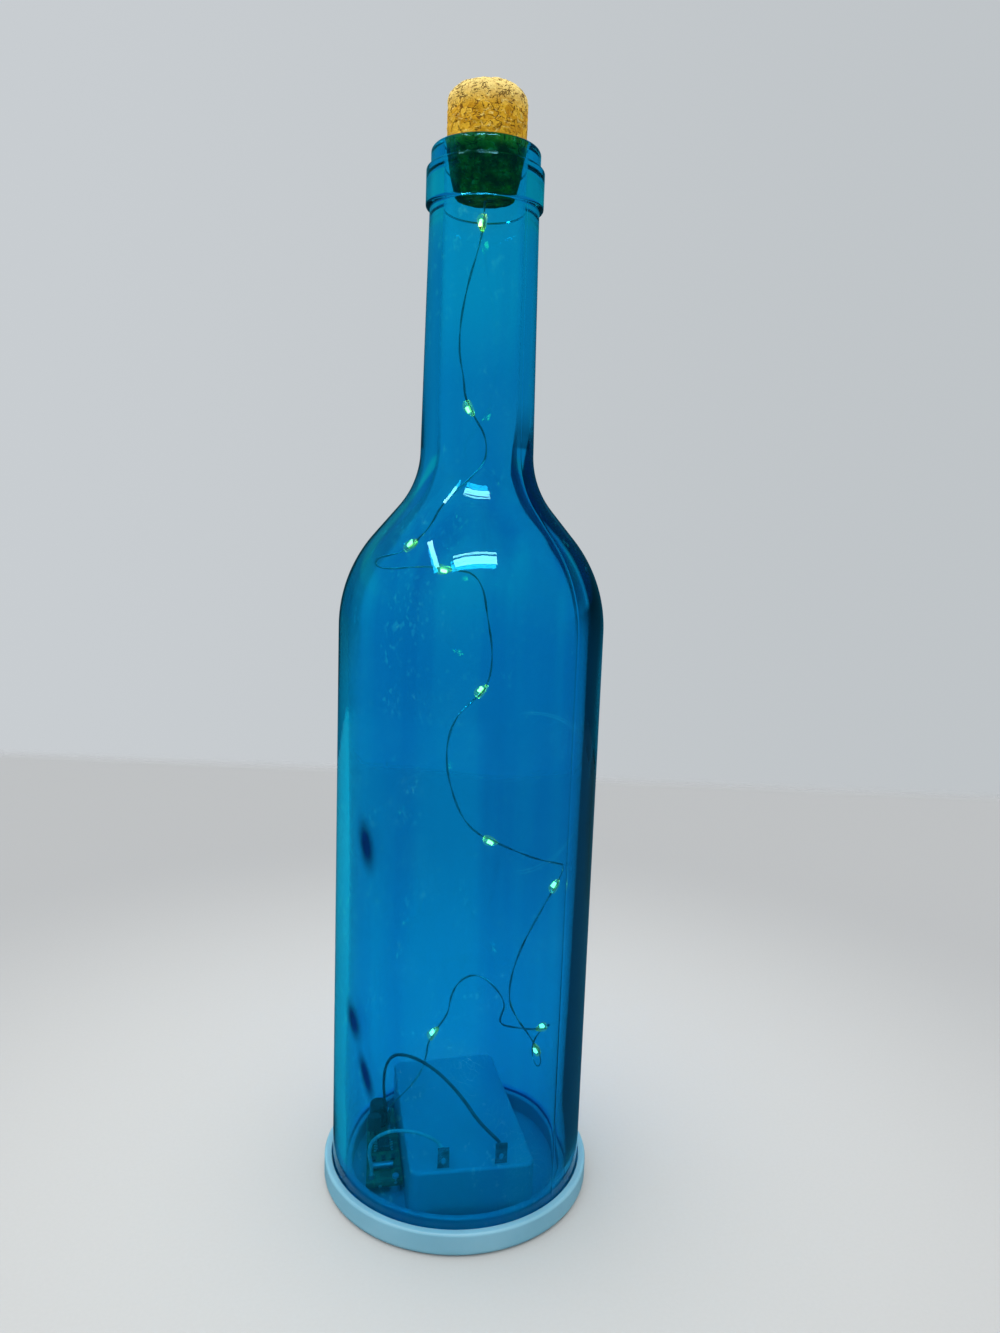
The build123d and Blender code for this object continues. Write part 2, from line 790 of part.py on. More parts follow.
# Light string, one tube of the two enamelled strands' overall size
with BuildPart() as light_wire:
    with BuildLine() as wire_path:
        FilletPolyline(*wire_points, radius=bend_radii(wire_points))
    wire_route = wire_path.wires()[0]
    with BuildSketch(Plane(wire_route @ 0, z_dir=wire_route % 0)):
        Circle(wire_radius)
    sweep(path=wire_route)
light_wire.part.label = "light_wire"
export_step(light_wire.part, "parts/light_wire.step")
report_tube("light_wire", light_wire.part, wire_route, wire_radius)
print("light_wire: bend radii", [round(radius, 1) for radius in bend_radii(wire_points)])

# Solder cones where the string and the leads meet the board and the tabs
pads = [(Plane(wire_points[0]), wire_radius)]
for points in (positive_points, negative_points):
    pads.append((Plane(points[0]), lead_radius))
    pads.append((Plane(points[-1], x_dir=(1, 0, 0), z_dir=(0, 1, 0)), lead_radius))
with BuildPart() as solder_joints:
    for plane, radius in pads:
        with Locations(plane):
            Cone(
                solder_radius,
                radius + solder_collar,
                solder_rise,
                align=(Align.CENTER, Align.CENTER, Align.MIN),
            )
            Cylinder(
                radius + solder_play,
                solder_rise,
                align=(Align.CENTER, Align.CENTER, Align.MIN),
                mode=Mode.SUBTRACT,
            )
solder_joints.part.label = "solder_joints"
export_step(solder_joints.part, "parts/solder_joints.step")

# LED drops: each sits on the middle of one run of the string, with the chip beside the wire inside it
for number, run in enumerate(led_runs, start=1):
    around = wire_points[run - 1 : run + 3]
    start, end = Vector(*wire_points[run]), Vector(*wire_points[run + 1])
    middle = (start + end) * 0.5
    along = (end - start).normalized()
    outward = along.cross(Vector(0, 1, 0)).normalized()
    drop_plane = Plane(middle, x_dir=along, z_dir=along.cross(outward))
    die_lift = wire_radius + drop_bore_play + chip_die_height / 2
    die_plane = Plane(middle + outward * die_lift, x_dir=along, z_dir=outward)
    with BuildPart() as led_drop:
        with BuildSketch(drop_plane):
            with BuildLine():
                ThreePointArc(
                    (-drop_length / 2, drop_end_radius),
                    (0, drop_radius),
                    (drop_length / 2, drop_end_radius),
                )
                Polyline(
                    (drop_length / 2, drop_end_radius),
                    (drop_length / 2, 0),
                    (-drop_length / 2, 0),
                    (-drop_length / 2, drop_end_radius),
                )
            make_face()
        revolve(axis=Axis(middle, along))
        with BuildLine() as bore_path:
            FilletPolyline(*around, radius=bend_radii(around))
        bore_route = bore_path.wires()[0]
        with BuildSketch(Plane(bore_route @ 0, z_dir=bore_route % 0)):
            Circle(wire_radius + drop_bore_play)
        sweep(path=bore_route, mode=Mode.SUBTRACT)
        with Locations(die_plane):
            Box(
                chip_die_length + 2 * die_play,
                chip_die_width + 2 * die_play,
                chip_die_height + 2 * die_play,
                mode=Mode.SUBTRACT,
            )
    led_drop.part.label = f"led_drop_{number:02d}"
    export_step(led_drop.part, f"parts/led_drop_{number:02d}.step")
    with BuildPart() as led_chip:
        with Locations(die_plane):
            Box(chip_die_length, chip_die_width, chip_die_height)
    led_chip.part.label = f"led_chip_{number:02d}"
    export_step(led_chip.part, f"parts/led_chip_{number:02d}.step")

print(f"body diameter {2 * body_radius:.2f}, mouth at {mouth_height:.1f}, box top at {box_top:.2f}")
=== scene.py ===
from math import atan2, cos, exp, pi, radians, sin, sqrt, tan

import bmesh
import bpy
from mathutils import Matrix, Vector, noise


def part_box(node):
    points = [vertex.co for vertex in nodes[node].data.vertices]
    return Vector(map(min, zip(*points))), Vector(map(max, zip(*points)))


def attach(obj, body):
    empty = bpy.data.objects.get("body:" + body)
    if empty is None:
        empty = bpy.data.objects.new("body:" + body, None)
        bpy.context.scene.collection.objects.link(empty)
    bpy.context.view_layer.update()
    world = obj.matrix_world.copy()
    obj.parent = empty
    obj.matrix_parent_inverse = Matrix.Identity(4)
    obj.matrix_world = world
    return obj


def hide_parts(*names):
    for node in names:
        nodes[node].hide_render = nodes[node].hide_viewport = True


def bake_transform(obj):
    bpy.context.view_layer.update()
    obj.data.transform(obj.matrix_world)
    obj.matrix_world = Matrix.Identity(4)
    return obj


# Cork bottle light: blue glass bottle, cork, milky tray with cells and board, string of ten drop lights.
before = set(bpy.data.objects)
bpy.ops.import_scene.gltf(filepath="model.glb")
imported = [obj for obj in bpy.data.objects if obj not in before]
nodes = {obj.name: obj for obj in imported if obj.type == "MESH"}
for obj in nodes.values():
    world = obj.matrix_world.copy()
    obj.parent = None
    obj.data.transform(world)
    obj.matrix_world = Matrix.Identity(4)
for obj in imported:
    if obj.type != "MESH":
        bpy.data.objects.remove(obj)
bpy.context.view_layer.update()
scene = bpy.context.scene
mm = 0.001
noiseSpan = (0.3, 0.7)  # where most values of a noise lie
print("frame loaded,", len(nodes), "nodes")

# Camera, standing where the photograph was taken
cameraSet = {
    "place": (-0.04984, -0.28268, 0.20244),
    "yaw": 11.713,  # from +Y towards +X
    "pitch": 8.720,  # downwards
    "roll": 2.048,
    "focalPixels": 1000,
    "longSidePixels": 1333,
    "sensor": 36.0,
}


def makeCamera(look):
    yaw, pitch, roll = radians(look["yaw"]), radians(look["pitch"]), radians(look["roll"])
    forward = Vector((sin(yaw) * cos(pitch), cos(yaw) * cos(pitch), -sin(pitch)))
    level = Vector((cos(yaw), -sin(yaw), 0))
    upright = level.cross(forward)
    right = level * cos(roll) + upright * sin(roll)
    top = upright * cos(roll) - level * sin(roll)
    lens = bpy.data.cameras.new("studioCamera")
    lens.sensor_width = look["sensor"]
    lens.lens = look["sensor"] * look["focalPixels"] / look["longSidePixels"]
    lens.clip_start = 0.01
    eye = bpy.data.objects.new("studioCamera", lens)
    turn = Matrix((right, top, -forward)).transposed().to_4x4()
    eye.matrix_world = Matrix.Translation(look["place"]) @ turn
    scene.collection.objects.link(eye)
    scene.camera = eye


makeCamera(cameraSet)
print("camera placed")


# Small helpers for node trees: an input is a plain value or another node's output
def put(tree, kind, inputs=None, **settings):
    node = tree.nodes.new("ShaderNode" + kind)
    for key, value in settings.items():
        setattr(node, key, value)
    for key, value in (inputs or {}).items():
        if isinstance(value, bpy.types.NodeSocket):
            tree.links.new(value, node.inputs[key])
        else:
            node.inputs[key].default_value = value
    return node


def mix(tree, share, first, second):
    return put(tree, "Mix", {0: share, 6: first, 7: second}, data_type="RGBA").outputs[2]


def ranged(tree, value, low, high, toLow=0.0, toHigh=1.0):
    inputs = {"Value": value, 1: low, 2: high, 3: toLow, 4: toHigh}
    return put(tree, "MapRange", inputs, interpolation_type="SMOOTHSTEP").outputs[0]


def sums(tree, operation, first, *others):
    for other in others:
        first = put(tree, "Math", {0: first, 1: other}, operation=operation).outputs[0]
    return first


def times(tree, *factors):
    return sums(tree, "MULTIPLY", *factors)


def most(tree, *values):
    return sums(tree, "MAXIMUM", *values)


def noiseAt(tree, place, scale, detail, output="Fac"):
    return put(tree, "TexNoise", {"Vector": place, "Scale": scale, "Detail": detail}).outputs[output]


def cellsAt(tree, place, scale, output, randomness=1.0, **settings):
    inputs = {"Vector": place, "Scale": scale, "Randomness": randomness}
    return put(tree, "TexVoronoi", inputs, **settings).outputs[output]


def axesOf(tree, way):
    return put(tree, "SeparateXYZ", {"Vector": way}).outputs


def vectors(tree, operation, *ways):
    node = put(tree, "VectorMath", dict(enumerate(ways)), operation=operation)
    return node.outputs["Value" if operation in ("LENGTH", "DOT_PRODUCT") else "Vector"]


def mapped(tree, place, kind="POINT", **inputs):
    return put(tree, "Mapping", {"Vector": place, **inputs}, vector_type=kind).outputs[0]


def rampOf(tree, value, stops):
    node = put(tree, "ValToRGB", {"Fac": value})
    elements = node.color_ramp.elements
    while len(elements) < len(stops):
        elements.new(0.5)
    for element, (share, colour) in zip(elements, stops):
        element.position, element.color = share, colour
    return node.outputs[0]


def newMaterial(name):
    material = bpy.data.materials.new(name)
    material.use_nodes = True
    material.node_tree.nodes.clear()
    place = put(material.node_tree, "TexCoord").outputs["Object"]
    return material, material.node_tree, place


def finishMaterial(tree, inputs, share=None, tint=(1, 1, 1, 1)):
    shader = put(tree, "BsdfPrincipled", inputs)
    if share is not None:  # this share of it is a clear tint
        clear = put(tree, "BsdfTransparent", {"Color": tint})
        shader = put(tree, "MixShader", {0: share, 1: shader.outputs[0], 2: clear.outputs[0]})
    put(tree, "OutputMaterial", {"Surface": shader.outputs[0]})


def lampRay(tree):
    return put(tree, "LightPath").outputs["Is Shadow Ray"]


def newGroup(name, inputs, outputs):
    group = bpy.data.node_groups.new(name, "ShaderNodeTree")
    group.interface.new_socket(name="Place", in_out="INPUT", socket_type="NodeSocketVector")
    for label in inputs:
        group.interface.new_socket(name=label, in_out="INPUT", socket_type="NodeSocketFloat")
    for label in outputs:
        group.interface.new_socket(name=label, in_out="OUTPUT", socket_type="NodeSocketFloat")
    start = group.nodes.new("NodeGroupInput")
    end = group.nodes.new("NodeGroupOutput")
    return group, start, end


def useGroup(tree, group, place, scales):
    return put(tree, "Group", {"Place": place, **scales}, node_tree=group).outputs


# Moulded grain: cloudy tone and a fine pebble height, for plastics, sleeves and insulation
def makeGrainGroup():
    group, start, end = newGroup("mouldedGrain", ["Cloud Scale", "Pebble Scale"], ["Cloud", "Pebble"])
    place = start.outputs["Place"]
    cloud = noiseAt(group, place, start.outputs["Cloud Scale"], 4.0)
    pebble = noiseAt(group, place, start.outputs["Pebble Scale"], 2.0)
    group.links.new(ranged(group, cloud, *noiseSpan), end.inputs["Cloud"])
    group.links.new(pebble, end.inputs["Pebble"])
    return group


# Handling marks: soft greasy patches, fine hair scratches and dust specks, for glass, epoxy and metal
def makeMarksGroup():
    scales = ["Patch Scale", "Scratch Scale", "Speck Scale"]
    group, start, end = newGroup("handlingMarks", scales, ["Patch", "Scratch", "Speck"])
    place, patchScale, scratchScale, speckScale = (start.outputs[label] for label in ["Place"] + scales)
    patch = noiseAt(group, place, patchScale, 5.0)
    rare = noiseAt(group, place, patchScale, 2.0)
    bent = noiseAt(group, place, scratchScale, 1.0, "Color")
    moved = vectors(group, "ADD", place, bent)
    lines = cellsAt(group, moved, scratchScale, "Distance", feature="DISTANCE_TO_EDGE")
    specks = cellsAt(group, place, speckScale, "Distance")
    scratch = times(group, ranged(group, lines, 0.0, 0.012, 1.0, 0.0), ranged(group, rare, 0.55, 0.68))
    group.links.new(ranged(group, patch, 0.5, 0.72), end.inputs["Patch"])
    group.links.new(scratch, end.inputs["Scratch"])
    group.links.new(ranged(group, specks, 0.04, 0.1, 1.0, 0.0), end.inputs["Speck"])
    return group


grainGroup = makeGrainGroup()
marksGroup = makeMarksGroup()

# Blue glass: tinted at its faces, with smears, scuffs and scratches, painted shade along the shoulder's
# edges, and open to lamps
# A span is (from, to) or (from, to, share at from, share at to), and a noise is (scale, detail)
glassLook = {
    "blue": (0.038, 0.535, 0.845, 1),  # what one wall lets through
    "neckBlue": (0.045, 0.655, 0.900, 1),
    "paleShoulder": {"rise": (0.160, 0.185), "fall": (0.196, 0.218, 0.8, 0.2)},
    "paleNeck": (0.225, 0.265),
    "streak": (0.030, 0.440, 0.800, 1),  # uneven drawn glass
    "streaks": {"stretch": (1.0, 1.0, 0.07), "noise": (62.0, 3.0), "span": (0.46, 0.60, 0.0, 0.75)},
    "edgeBlue": (0.006, 0.400, 0.560, 1),
    "edgeFacing": (0.50, 0.92),
    "paintedShadeBlue": (0.0002, 0.003, 0.024, 1),  # painted shade on the shoulder's edges
    "rightShadeBand": {  # painted shade on the right, from another slant at each share of its height
        "heights": (0.184, 0.228),
        "from": [(0.0, 0.54), (0.28, 0.57), (0.48, 0.45), (0.67, 0.37), (0.83, 0.49), (1.0, 0.66)],
        "soft": (0.0, 0.05),
        "side": (-0.002, 0.008),
        "rise": (0.160, 0.180),
        "fall": (0.222, 0.234, 1.0, 0.0),
    },
    "rim": {  # painted shade on the left, a thin line
        "facing": (0.56, 0.66),
        "side": (-0.008, 0.002, 0.6, 0.0),
        "rise": (0.150, 0.172),
        "fall": (0.216, 0.232, 1.0, 0.0),
    },
    "rubbed": (0.850, 1.000, 1.000, 1),
    "marks": {"Patch Scale": 38.0, "Scratch Scale": 30.0, "Speck Scale": 120.0},
    "speckShare": 0.4,
    "patchShare": 0.03,
    "arcShare": 0.8,
    "arc": {  # one long curved scratch on the front
        "centre": (0.00867, 0.0, 0.13007),
        "radius": 0.02147,
        "width": 0.00022,
        "begins": (0.0067, 0.0097),
        "ends": (0.0240, 0.0250, 1.0, 0.0),
        "front": (-0.02, -0.01, 1.0, 0.0),
    },
    "scuffs": {
        "patch": (58.0, 2.0),
        "patches": (0.52, 0.64),
        "turned": {"Rotation": (0.5, 0.3, 0.7), "Scale": (1.0, 0.6, 0.6)},
        "hair": (620.0, 4.0),
        "hairs": (0.60, 0.70),
        "side": (-0.010, 0.014, 0.85, 0.2),
    },
    "stria": (0.0002, 0.006, 0.060, 1),
    "striaSoft": (0.30, 1.1, 1.0, 0.0),
    "striaDepth": 2.5,  # in half widths
    "striae": [  # from, to and half width
        ((-0.0323, -0.0200, 0.1220), (-0.0296, -0.0239, 0.1035), 0.0017),
        ((-0.0350, -0.0149, 0.0668), (-0.0318, -0.0208, 0.0530), 0.0017),
        ((-0.0322, -0.0202, 0.0545), (-0.0278, -0.0259, 0.0375), 0.0012),
    ],
    "lampBlue": (0.18, 0.70, 0.90, 1),  # at each face, for lamps
    "shine": (0.22, 0.85, 1.0, 1),
    "roughness": 0.012,
    "patchHaze": 0.03,
}


# Painted shade: a dark band down the right of the shoulder and a thin dark line down its left
def shoulderShade(tree, axes, facing, look):
    rightShadeBand, rim = look["rightShadeBand"], look["rim"]
    low, high = rightShadeBand["heights"]
    share = put(tree, "MapRange", {"Value": axes["Z"], 1: low, 2: high}).outputs[0]
    slant = rampOf(tree, share, [(stop, (edge, edge, edge, 1)) for stop, edge in rightShadeBand["from"]])
    right = ranged(tree, sums(tree, "SUBTRACT", facing, slant), *rightShadeBand["soft"])
    left = ranged(tree, facing, *rim["facing"])
    sides = []
    for shade, spans in ((right, rightShadeBand), (left, rim)):
        side = ranged(tree, axes["X"], *spans["side"])
        rise = ranged(tree, axes["Z"], *spans["rise"])
        fall = ranged(tree, axes["Z"], *spans["fall"])
        sides.append(times(tree, shade, side, rise, fall))
    return most(tree, *sides)


def longScratch(tree, place, axes, arc):
    swing = mapped(tree, place, "TEXTURE", Location=arc["centre"])
    swing = vectors(tree, "MULTIPLY", swing, (1.0, 0.0, 1.0))  # seen from the front
    off = sums(tree, "SUBTRACT", vectors(tree, "LENGTH", swing), arc["radius"])
    off = put(tree, "Math", {0: off}, operation="ABSOLUTE").outputs[0]
    line = ranged(tree, off, 0.0, arc["width"], 1.0, 0.0)
    begins = ranged(tree, axes["X"], *arc["begins"])
    ends = ranged(tree, axes["X"], *arc["ends"])
    return times(tree, line, begins, ends, ranged(tree, axes["Y"], *arc["front"]))


def scuffed(tree, place, axes, scuffs):
    patches = noiseAt(tree, place, *scuffs["patch"])
    turned = mapped(tree, place, **scuffs["turned"])
    hairs = noiseAt(tree, turned, *scuffs["hair"])
    wornAndPaintedLight = times(tree, ranged(tree, patches, *scuffs["patches"]), ranged(tree, hairs, *scuffs["hairs"]))
    return times(tree, wornAndPaintedLight, ranged(tree, axes["X"], *scuffs["side"]))


def withStriae(tree, place, tint, look):
    for start, end, half in look["striae"]:
        start, end = Vector(start), Vector(end)
        lean = (end - start).to_track_quat("Z", "Y").to_euler()
        size = (half, look["striaDepth"] * half, (end - start).length / 2)
        near = mapped(tree, place, "TEXTURE", Location=(start + end) / 2, Rotation=lean, Scale=size)
        near = vectors(tree, "LENGTH", near)
        tint = mix(tree, ranged(tree, near, *look["striaSoft"]), tint, look["stria"])
    return tint


def makeBlueGlass(look):
    material, tree, place = newMaterial("blueGlass")
    marks = useGroup(tree, marksGroup, place, look["marks"])
    axes = axesOf(tree, place)
    facing = put(tree, "LayerWeight", {"Blend": 0.5}).outputs["Facing"]
    pale, streaks = look["paleShoulder"], look["streaks"]
    paler = times(tree, ranged(tree, axes["Z"], *pale["rise"]), ranged(tree, axes["Z"], *pale["fall"]))
    paler = most(tree, paler, ranged(tree, axes["Z"], *look["paleNeck"]))
    tint = mix(tree, paler, look["blue"], look["neckBlue"])
    drawn = noiseAt(tree, mapped(tree, place, Scale=streaks["stretch"]), *streaks["noise"])
    tint = mix(tree, ranged(tree, drawn, *streaks["span"]), tint, look["streak"])
    tint = mix(tree, ranged(tree, facing, *look["edgeFacing"]), tint, look["edgeBlue"])
    # painted shade along the shoulder's edges
    tint = mix(tree, shoulderShade(tree, axes, facing, look), tint, look["paintedShadeBlue"])
    rubbed = most(
        tree,
        marks["Scratch"],
        times(tree, marks["Speck"], look["speckShare"]),
        times(tree, marks["Patch"], look["patchShare"]),
        times(tree, longScratch(tree, place, axes, look["arc"]), look["arcShare"]),
        scuffed(tree, place, axes, look["scuffs"]),
    )
    tint = mix(tree, rubbed, tint, look["rubbed"])
    tint = withStriae(tree, place, tint, look)
    haze = sums(tree, "ADD", times(tree, marks["Patch"], look["patchHaze"]), look["roughness"])
    inputs = {
        "Base Color": tint,
        "Roughness": haze,
        "IOR": 1.5,
        "Transmission Weight": 1.0,
        "Specular Tint": look["shine"],
    }
    finishMaterial(tree, inputs, lampRay(tree), look["lampBlue"])
    return material


# Cork: pressed flakes of several tans with broken dark gaps, pits and pale flecks, a top painted paler as
# light from above falls on it, and painted shade inside the neck
corkLook = {
    "tones": [
        (0.0, (0.42, 0.165, 0.005, 1)),
        (0.4, (0.66, 0.335, 0.011, 1)),
        (0.75, (0.82, 0.465, 0.026, 1)),
        (1.0, (0.95, 0.610, 0.085, 1)),
    ],
    "fineTone": 0.5,
    "flakeTone": 0.62,
    "gap": (0.15, 0.046, 0.002, 1),
    "gapShare": 0.85,
    "fleck": (0.99, 0.76, 0.220, 1),
    "grain": (0.36, 0.135, 0.004, 1),  # brown bark between the pale flakes
    "wornAndPaintedLight": (1.00, 0.78, 0.270, 1),  # painted light, the top paler where light from above falls
    "paintedNeckShade": (0.10, 0.030, 0.001, 1),  # painted shade, darker where the plug sits in the neck
    "flakes": 400.0,
    "flatten": (1.0, 1.0, 1.9),
    "wander": 0.0034,
    "fineHeight": 0.4,
    "bump": 0.0005,
    "noises": {  # scale and detail
        "wander": (420.0, 4.0),
        "fine": (2200.0, 5.0),
        "broken": (520.0, 2.0),
        "pits": (880.0, 4.0),
        "flecks": (640.0, 3.0),
        "grain": (1150.0, 3.0),
        "neckShadeNoise": (230.0, 5.0),
    },
    "spans": {
        "cracks": (0.0, 0.085, 1.0, 0.0),
        "broken": (0.47, 0.60),
        "pits": (0.60, 0.69),
        "flecks": (0.54, 0.70, 0.0, 0.7),
        "grain": (0.54, 0.67, 0.0, 0.6),
        "neckShadeNoise": (0.36, 0.66, 0.98, 0.62),
        # painted light on the top of the cork
        "wornAndPaintedLight": (0.3060, 0.3130, 0.0, 0.9),
        "neckShadeShare": (0.2960, 0.2995, 1.0, 0.0),
    },
}


def makeCork(look):
    material, tree, place = newMaterial("cork")
    noises, spans = look["noises"], look["spans"]

    def masked(where, name):
        return ranged(tree, noiseAt(tree, where, *noises[name]), *spans[name])

    wander = noiseAt(tree, place, *noises["wander"], "Color")
    pushed = put(tree, "VectorMath", {0: wander, 3: look["wander"]}, operation="SCALE").outputs[0]
    warped = vectors(tree, "ADD", place, pushed)
    flat = mapped(tree, warped, Scale=look["flatten"])
    flakes = cellsAt(tree, flat, look["flakes"], "Color")
    edges = cellsAt(tree, flat, look["flakes"], "Distance", feature="DISTANCE_TO_EDGE")
    pick = put(tree, "SeparateColor", {"Color": flakes}).outputs[0]
    fine = noiseAt(tree, flat, *noises["fine"])
    tall = axesOf(tree, place)["Z"]
    crack = times(tree, ranged(tree, edges, *spans["cracks"]), masked(place, "broken"))
    gap = most(tree, crack, masked(flat, "pits"))
    tone = sums(tree, "ADD", times(tree, fine, look["fineTone"]), times(tree, pick, look["flakeTone"]))
    colour = mix(tree, masked(flat, "flecks"), rampOf(tree, tone, look["tones"]), look["fleck"])
    # painted light: the top of the cork paler, as lit from above
    colour = mix(tree, ranged(tree, tall, *spans["wornAndPaintedLight"]), colour, look["wornAndPaintedLight"])
    colour = mix(tree, masked(flat, "grain"), colour, look["grain"])
    colour = mix(tree, times(tree, gap, look["gapShare"]), colour, look["gap"])
    # painted shade on the cork inside the neck, broken up by noise
    neckShadeShare = times(tree, ranged(tree, tall, *spans["neckShadeShare"]), masked(place, "neckShadeNoise"))
    colour = mix(tree, neckShadeShare, colour, look["paintedNeckShade"])
    height = sums(tree, "SUBTRACT", times(tree, fine, look["fineHeight"]), gap)
    bump = put(tree, "Bump", {"Strength": 0.8, "Distance": look["bump"], "Height": height}).outputs[0]
    inputs = {"Base Color": colour, "Roughness": 0.85, "Specular IOR Level": 0.1, "Normal": bump}
    finishMaterial(tree, inputs)
    return material


# Plastics, sleeves and insulation share one recipe with their own values
milk = {"Subsurface Weight": 0.35, "Subsurface Radius": (0.6, 0.9, 1.0), "Subsurface Scale": 0.004}
plastics = {  # dark, light, roughness, cloud scale, pebble scale, pebble depth and other sockets
    "milkyPlastic": ((0.17, 0.39, 0.50, 1), (0.21, 0.44, 0.55, 1), 0.42, 45.0, 2600.0, 0.00003, milk),
    "doorPlastic": ((0.18, 0.40, 0.51, 1), (0.22, 0.45, 0.56, 1), 0.46, 70.0, 3000.0, 0.00003),
    "blackPlastic": ((0.012, 0.013, 0.014, 1), (0.030, 0.031, 0.033, 1), 0.38, 300.0, 5000.0, 0.00003),
    "blackEpoxy": ((0.010, 0.011, 0.012, 1), (0.026, 0.027, 0.028, 1), 0.5, 500.0, 6000.0, 0.00004),
    "blackSleeve": ((0.008, 0.012, 0.012, 1), (0.022, 0.030, 0.030, 1), 0.13, 300.0, 2500.0, 0.00004),
    "darkCeramic": ((0.020, 0.018, 0.018, 1), (0.055, 0.050, 0.048, 1), 0.35, 800.0, 6000.0, 0.00003),
    "greyInsulation": ((0.42, 0.46, 0.49, 1), (0.55, 0.59, 0.62, 1), 0.34, 160.0, 3000.0, 0.00003),
    "blackInsulation": ((0.090, 0.100, 0.110, 1), (0.130, 0.140, 0.155, 1), 0.32, 160.0, 3000.0, 0.00003),
    "cellSleeve": ((0.30, 0.33, 0.35, 1), (0.40, 0.43, 0.45, 1), 0.26, 60.0, 2200.0, 0.00002),
}


def makePlastic(name, dark, light, roughness, cloud, pebble, depth, sockets=None):
    material, tree, place = newMaterial(name)
    grain = useGroup(tree, grainGroup, place, {"Cloud Scale": cloud, "Pebble Scale": pebble})
    colour = mix(tree, grain["Cloud"], dark, light)
    rough = ranged(tree, grain["Pebble"], *noiseSpan, roughness * 0.85, roughness * 1.15)
    bump = put(tree, "Bump", {"Strength": 0.35, "Distance": depth, "Height": grain["Pebble"]})
    inputs = {"Base Color": colour, "Roughness": rough, "Normal": bump.outputs[0]}
    finishMaterial(tree, inputs | (sockets or {}))
    return material


# Metals share the handling marks, which roughen and darken them
metals = {  # clean, worn, roughness, patch scale and scratch scale
    "platedSteel": ((0.42, 0.42, 0.41, 1), (0.20, 0.19, 0.17, 1), 0.26, 160.0, 300.0),
    "tinnedMetal": ((0.70, 0.71, 0.72, 1), (0.48, 0.49, 0.50, 1), 0.30, 260.0, 420.0),
    "dullCan": ((0.30, 0.31, 0.32, 1), (0.18, 0.18, 0.19, 1), 0.52, 300.0, 420.0),
    "solder": ((0.34, 0.35, 0.36, 1), (0.14, 0.14, 0.15, 1), 0.30, 420.0, 600.0),
    "enamelledWire": ((0.50, 0.46, 0.40, 1), (0.28, 0.23, 0.17, 1), 0.30, 120.0, 500.0),
}


def makeMetal(name, clean, wornAndPaintedLight, roughness, patch, scratch):
    material, tree, place = newMaterial(name)
    scales = {"Patch Scale": patch, "Scratch Scale": scratch, "Speck Scale": scratch * 3}
    marks = useGroup(tree, marksGroup, place, scales)
    colour = mix(tree, most(tree, marks["Patch"], marks["Scratch"]), clean, wornAndPaintedLight)
    rough = ranged(tree, marks["Patch"], 0.0, 1.0, roughness, roughness * 1.7)
    bump = put(tree, "Bump", {"Strength": 0.25, "Distance": 0.00005, "Height": marks["Scratch"]})
    inputs = {"Base Color": colour, "Metallic": 1.0, "Roughness": rough, "Normal": bump.outputs[0]}
    finishMaterial(tree, inputs)
    return material


# Board: dark green mask over copper tracks, with bare tinned spots
boardLook = {
    "mask": (0.010, 0.095, 0.045, 1),
    "track": (0.020, 0.165, 0.075, 1),
    "pad": (0.55, 0.55, 0.50, 1),
    "tracks": {"scale": 260.0, "randomness": 0.45, "feature": "DISTANCE_TO_EDGE", "distance": "MANHATTAN"},
    "pads": {"scale": 190.0, "randomness": 0.6},
    "edge": (0.10, 0.13, 1.0, 0.0),
    "speckle": (3000.0, 2.0),
    "roughness": (0.28, 0.42),
    "trackHeight": 0.00005,
}


def makeBoard(look):
    material, tree, place = newMaterial("greenBoard")
    track = ranged(tree, cellsAt(tree, place, output="Distance", **look["tracks"]), *look["edge"])
    pad = ranged(tree, cellsAt(tree, place, output="Distance", **look["pads"]), *look["edge"])
    colour = mix(tree, pad, mix(tree, track, look["mask"], look["track"]), look["pad"])
    rough = ranged(tree, noiseAt(tree, place, *look["speckle"]), *noiseSpan, *look["roughness"])
    bump = put(tree, "Bump", {"Strength": 0.4, "Distance": look["trackHeight"], "Height": track})
    inputs = {"Base Color": colour, "Roughness": rough, "Metallic": pad, "Normal": bump.outputs[0]}
    finishMaterial(tree, inputs)
    return material


# Epoxy drops and glue: clear, faintly yellow, open to lamps like the bottle, the drops with a painted glow
clears = {  # colour, cloudy colour, roughness and the painted glow inside
    "clearEpoxy": ((0.97, 0.93, 0.78, 1), (0.93, 0.88, 0.66, 1), 0.02, 0.16),
    "clearGlue": ((0.86, 0.94, 0.96, 1), (0.78, 0.88, 0.92, 1), 0.18, 0.0),
}
clearLook = {
    "marks": {"Patch Scale": 420.0, "Scratch Scale": 500.0, "Speck Scale": 900.0},
    "haze": 0.08,
    "paintedGlow": (1.0, 0.60, 0.05, 1),
    "lampTint": (0.96, 0.93, 0.84, 1),
}


def makeClear(look, name, colour, cloudy, roughness, paintedGlow):
    material, tree, place = newMaterial(name)
    marks = useGroup(tree, marksGroup, place, look["marks"])
    inputs = {
        "Base Color": mix(tree, marks["Patch"], colour, cloudy),
        "Roughness": ranged(tree, marks["Patch"], 0.0, 1.0, roughness, roughness + look["haze"]),
        "IOR": 1.52,
        "Transmission Weight": 1.0,
        # painted glow: the drop shines as if lit by the chip inside
        "Emission Color": look["paintedGlow"],
        "Emission Strength": paintedGlow,
    }
    finishMaterial(tree, inputs, lampRay(tree), look["lampTint"])
    return material


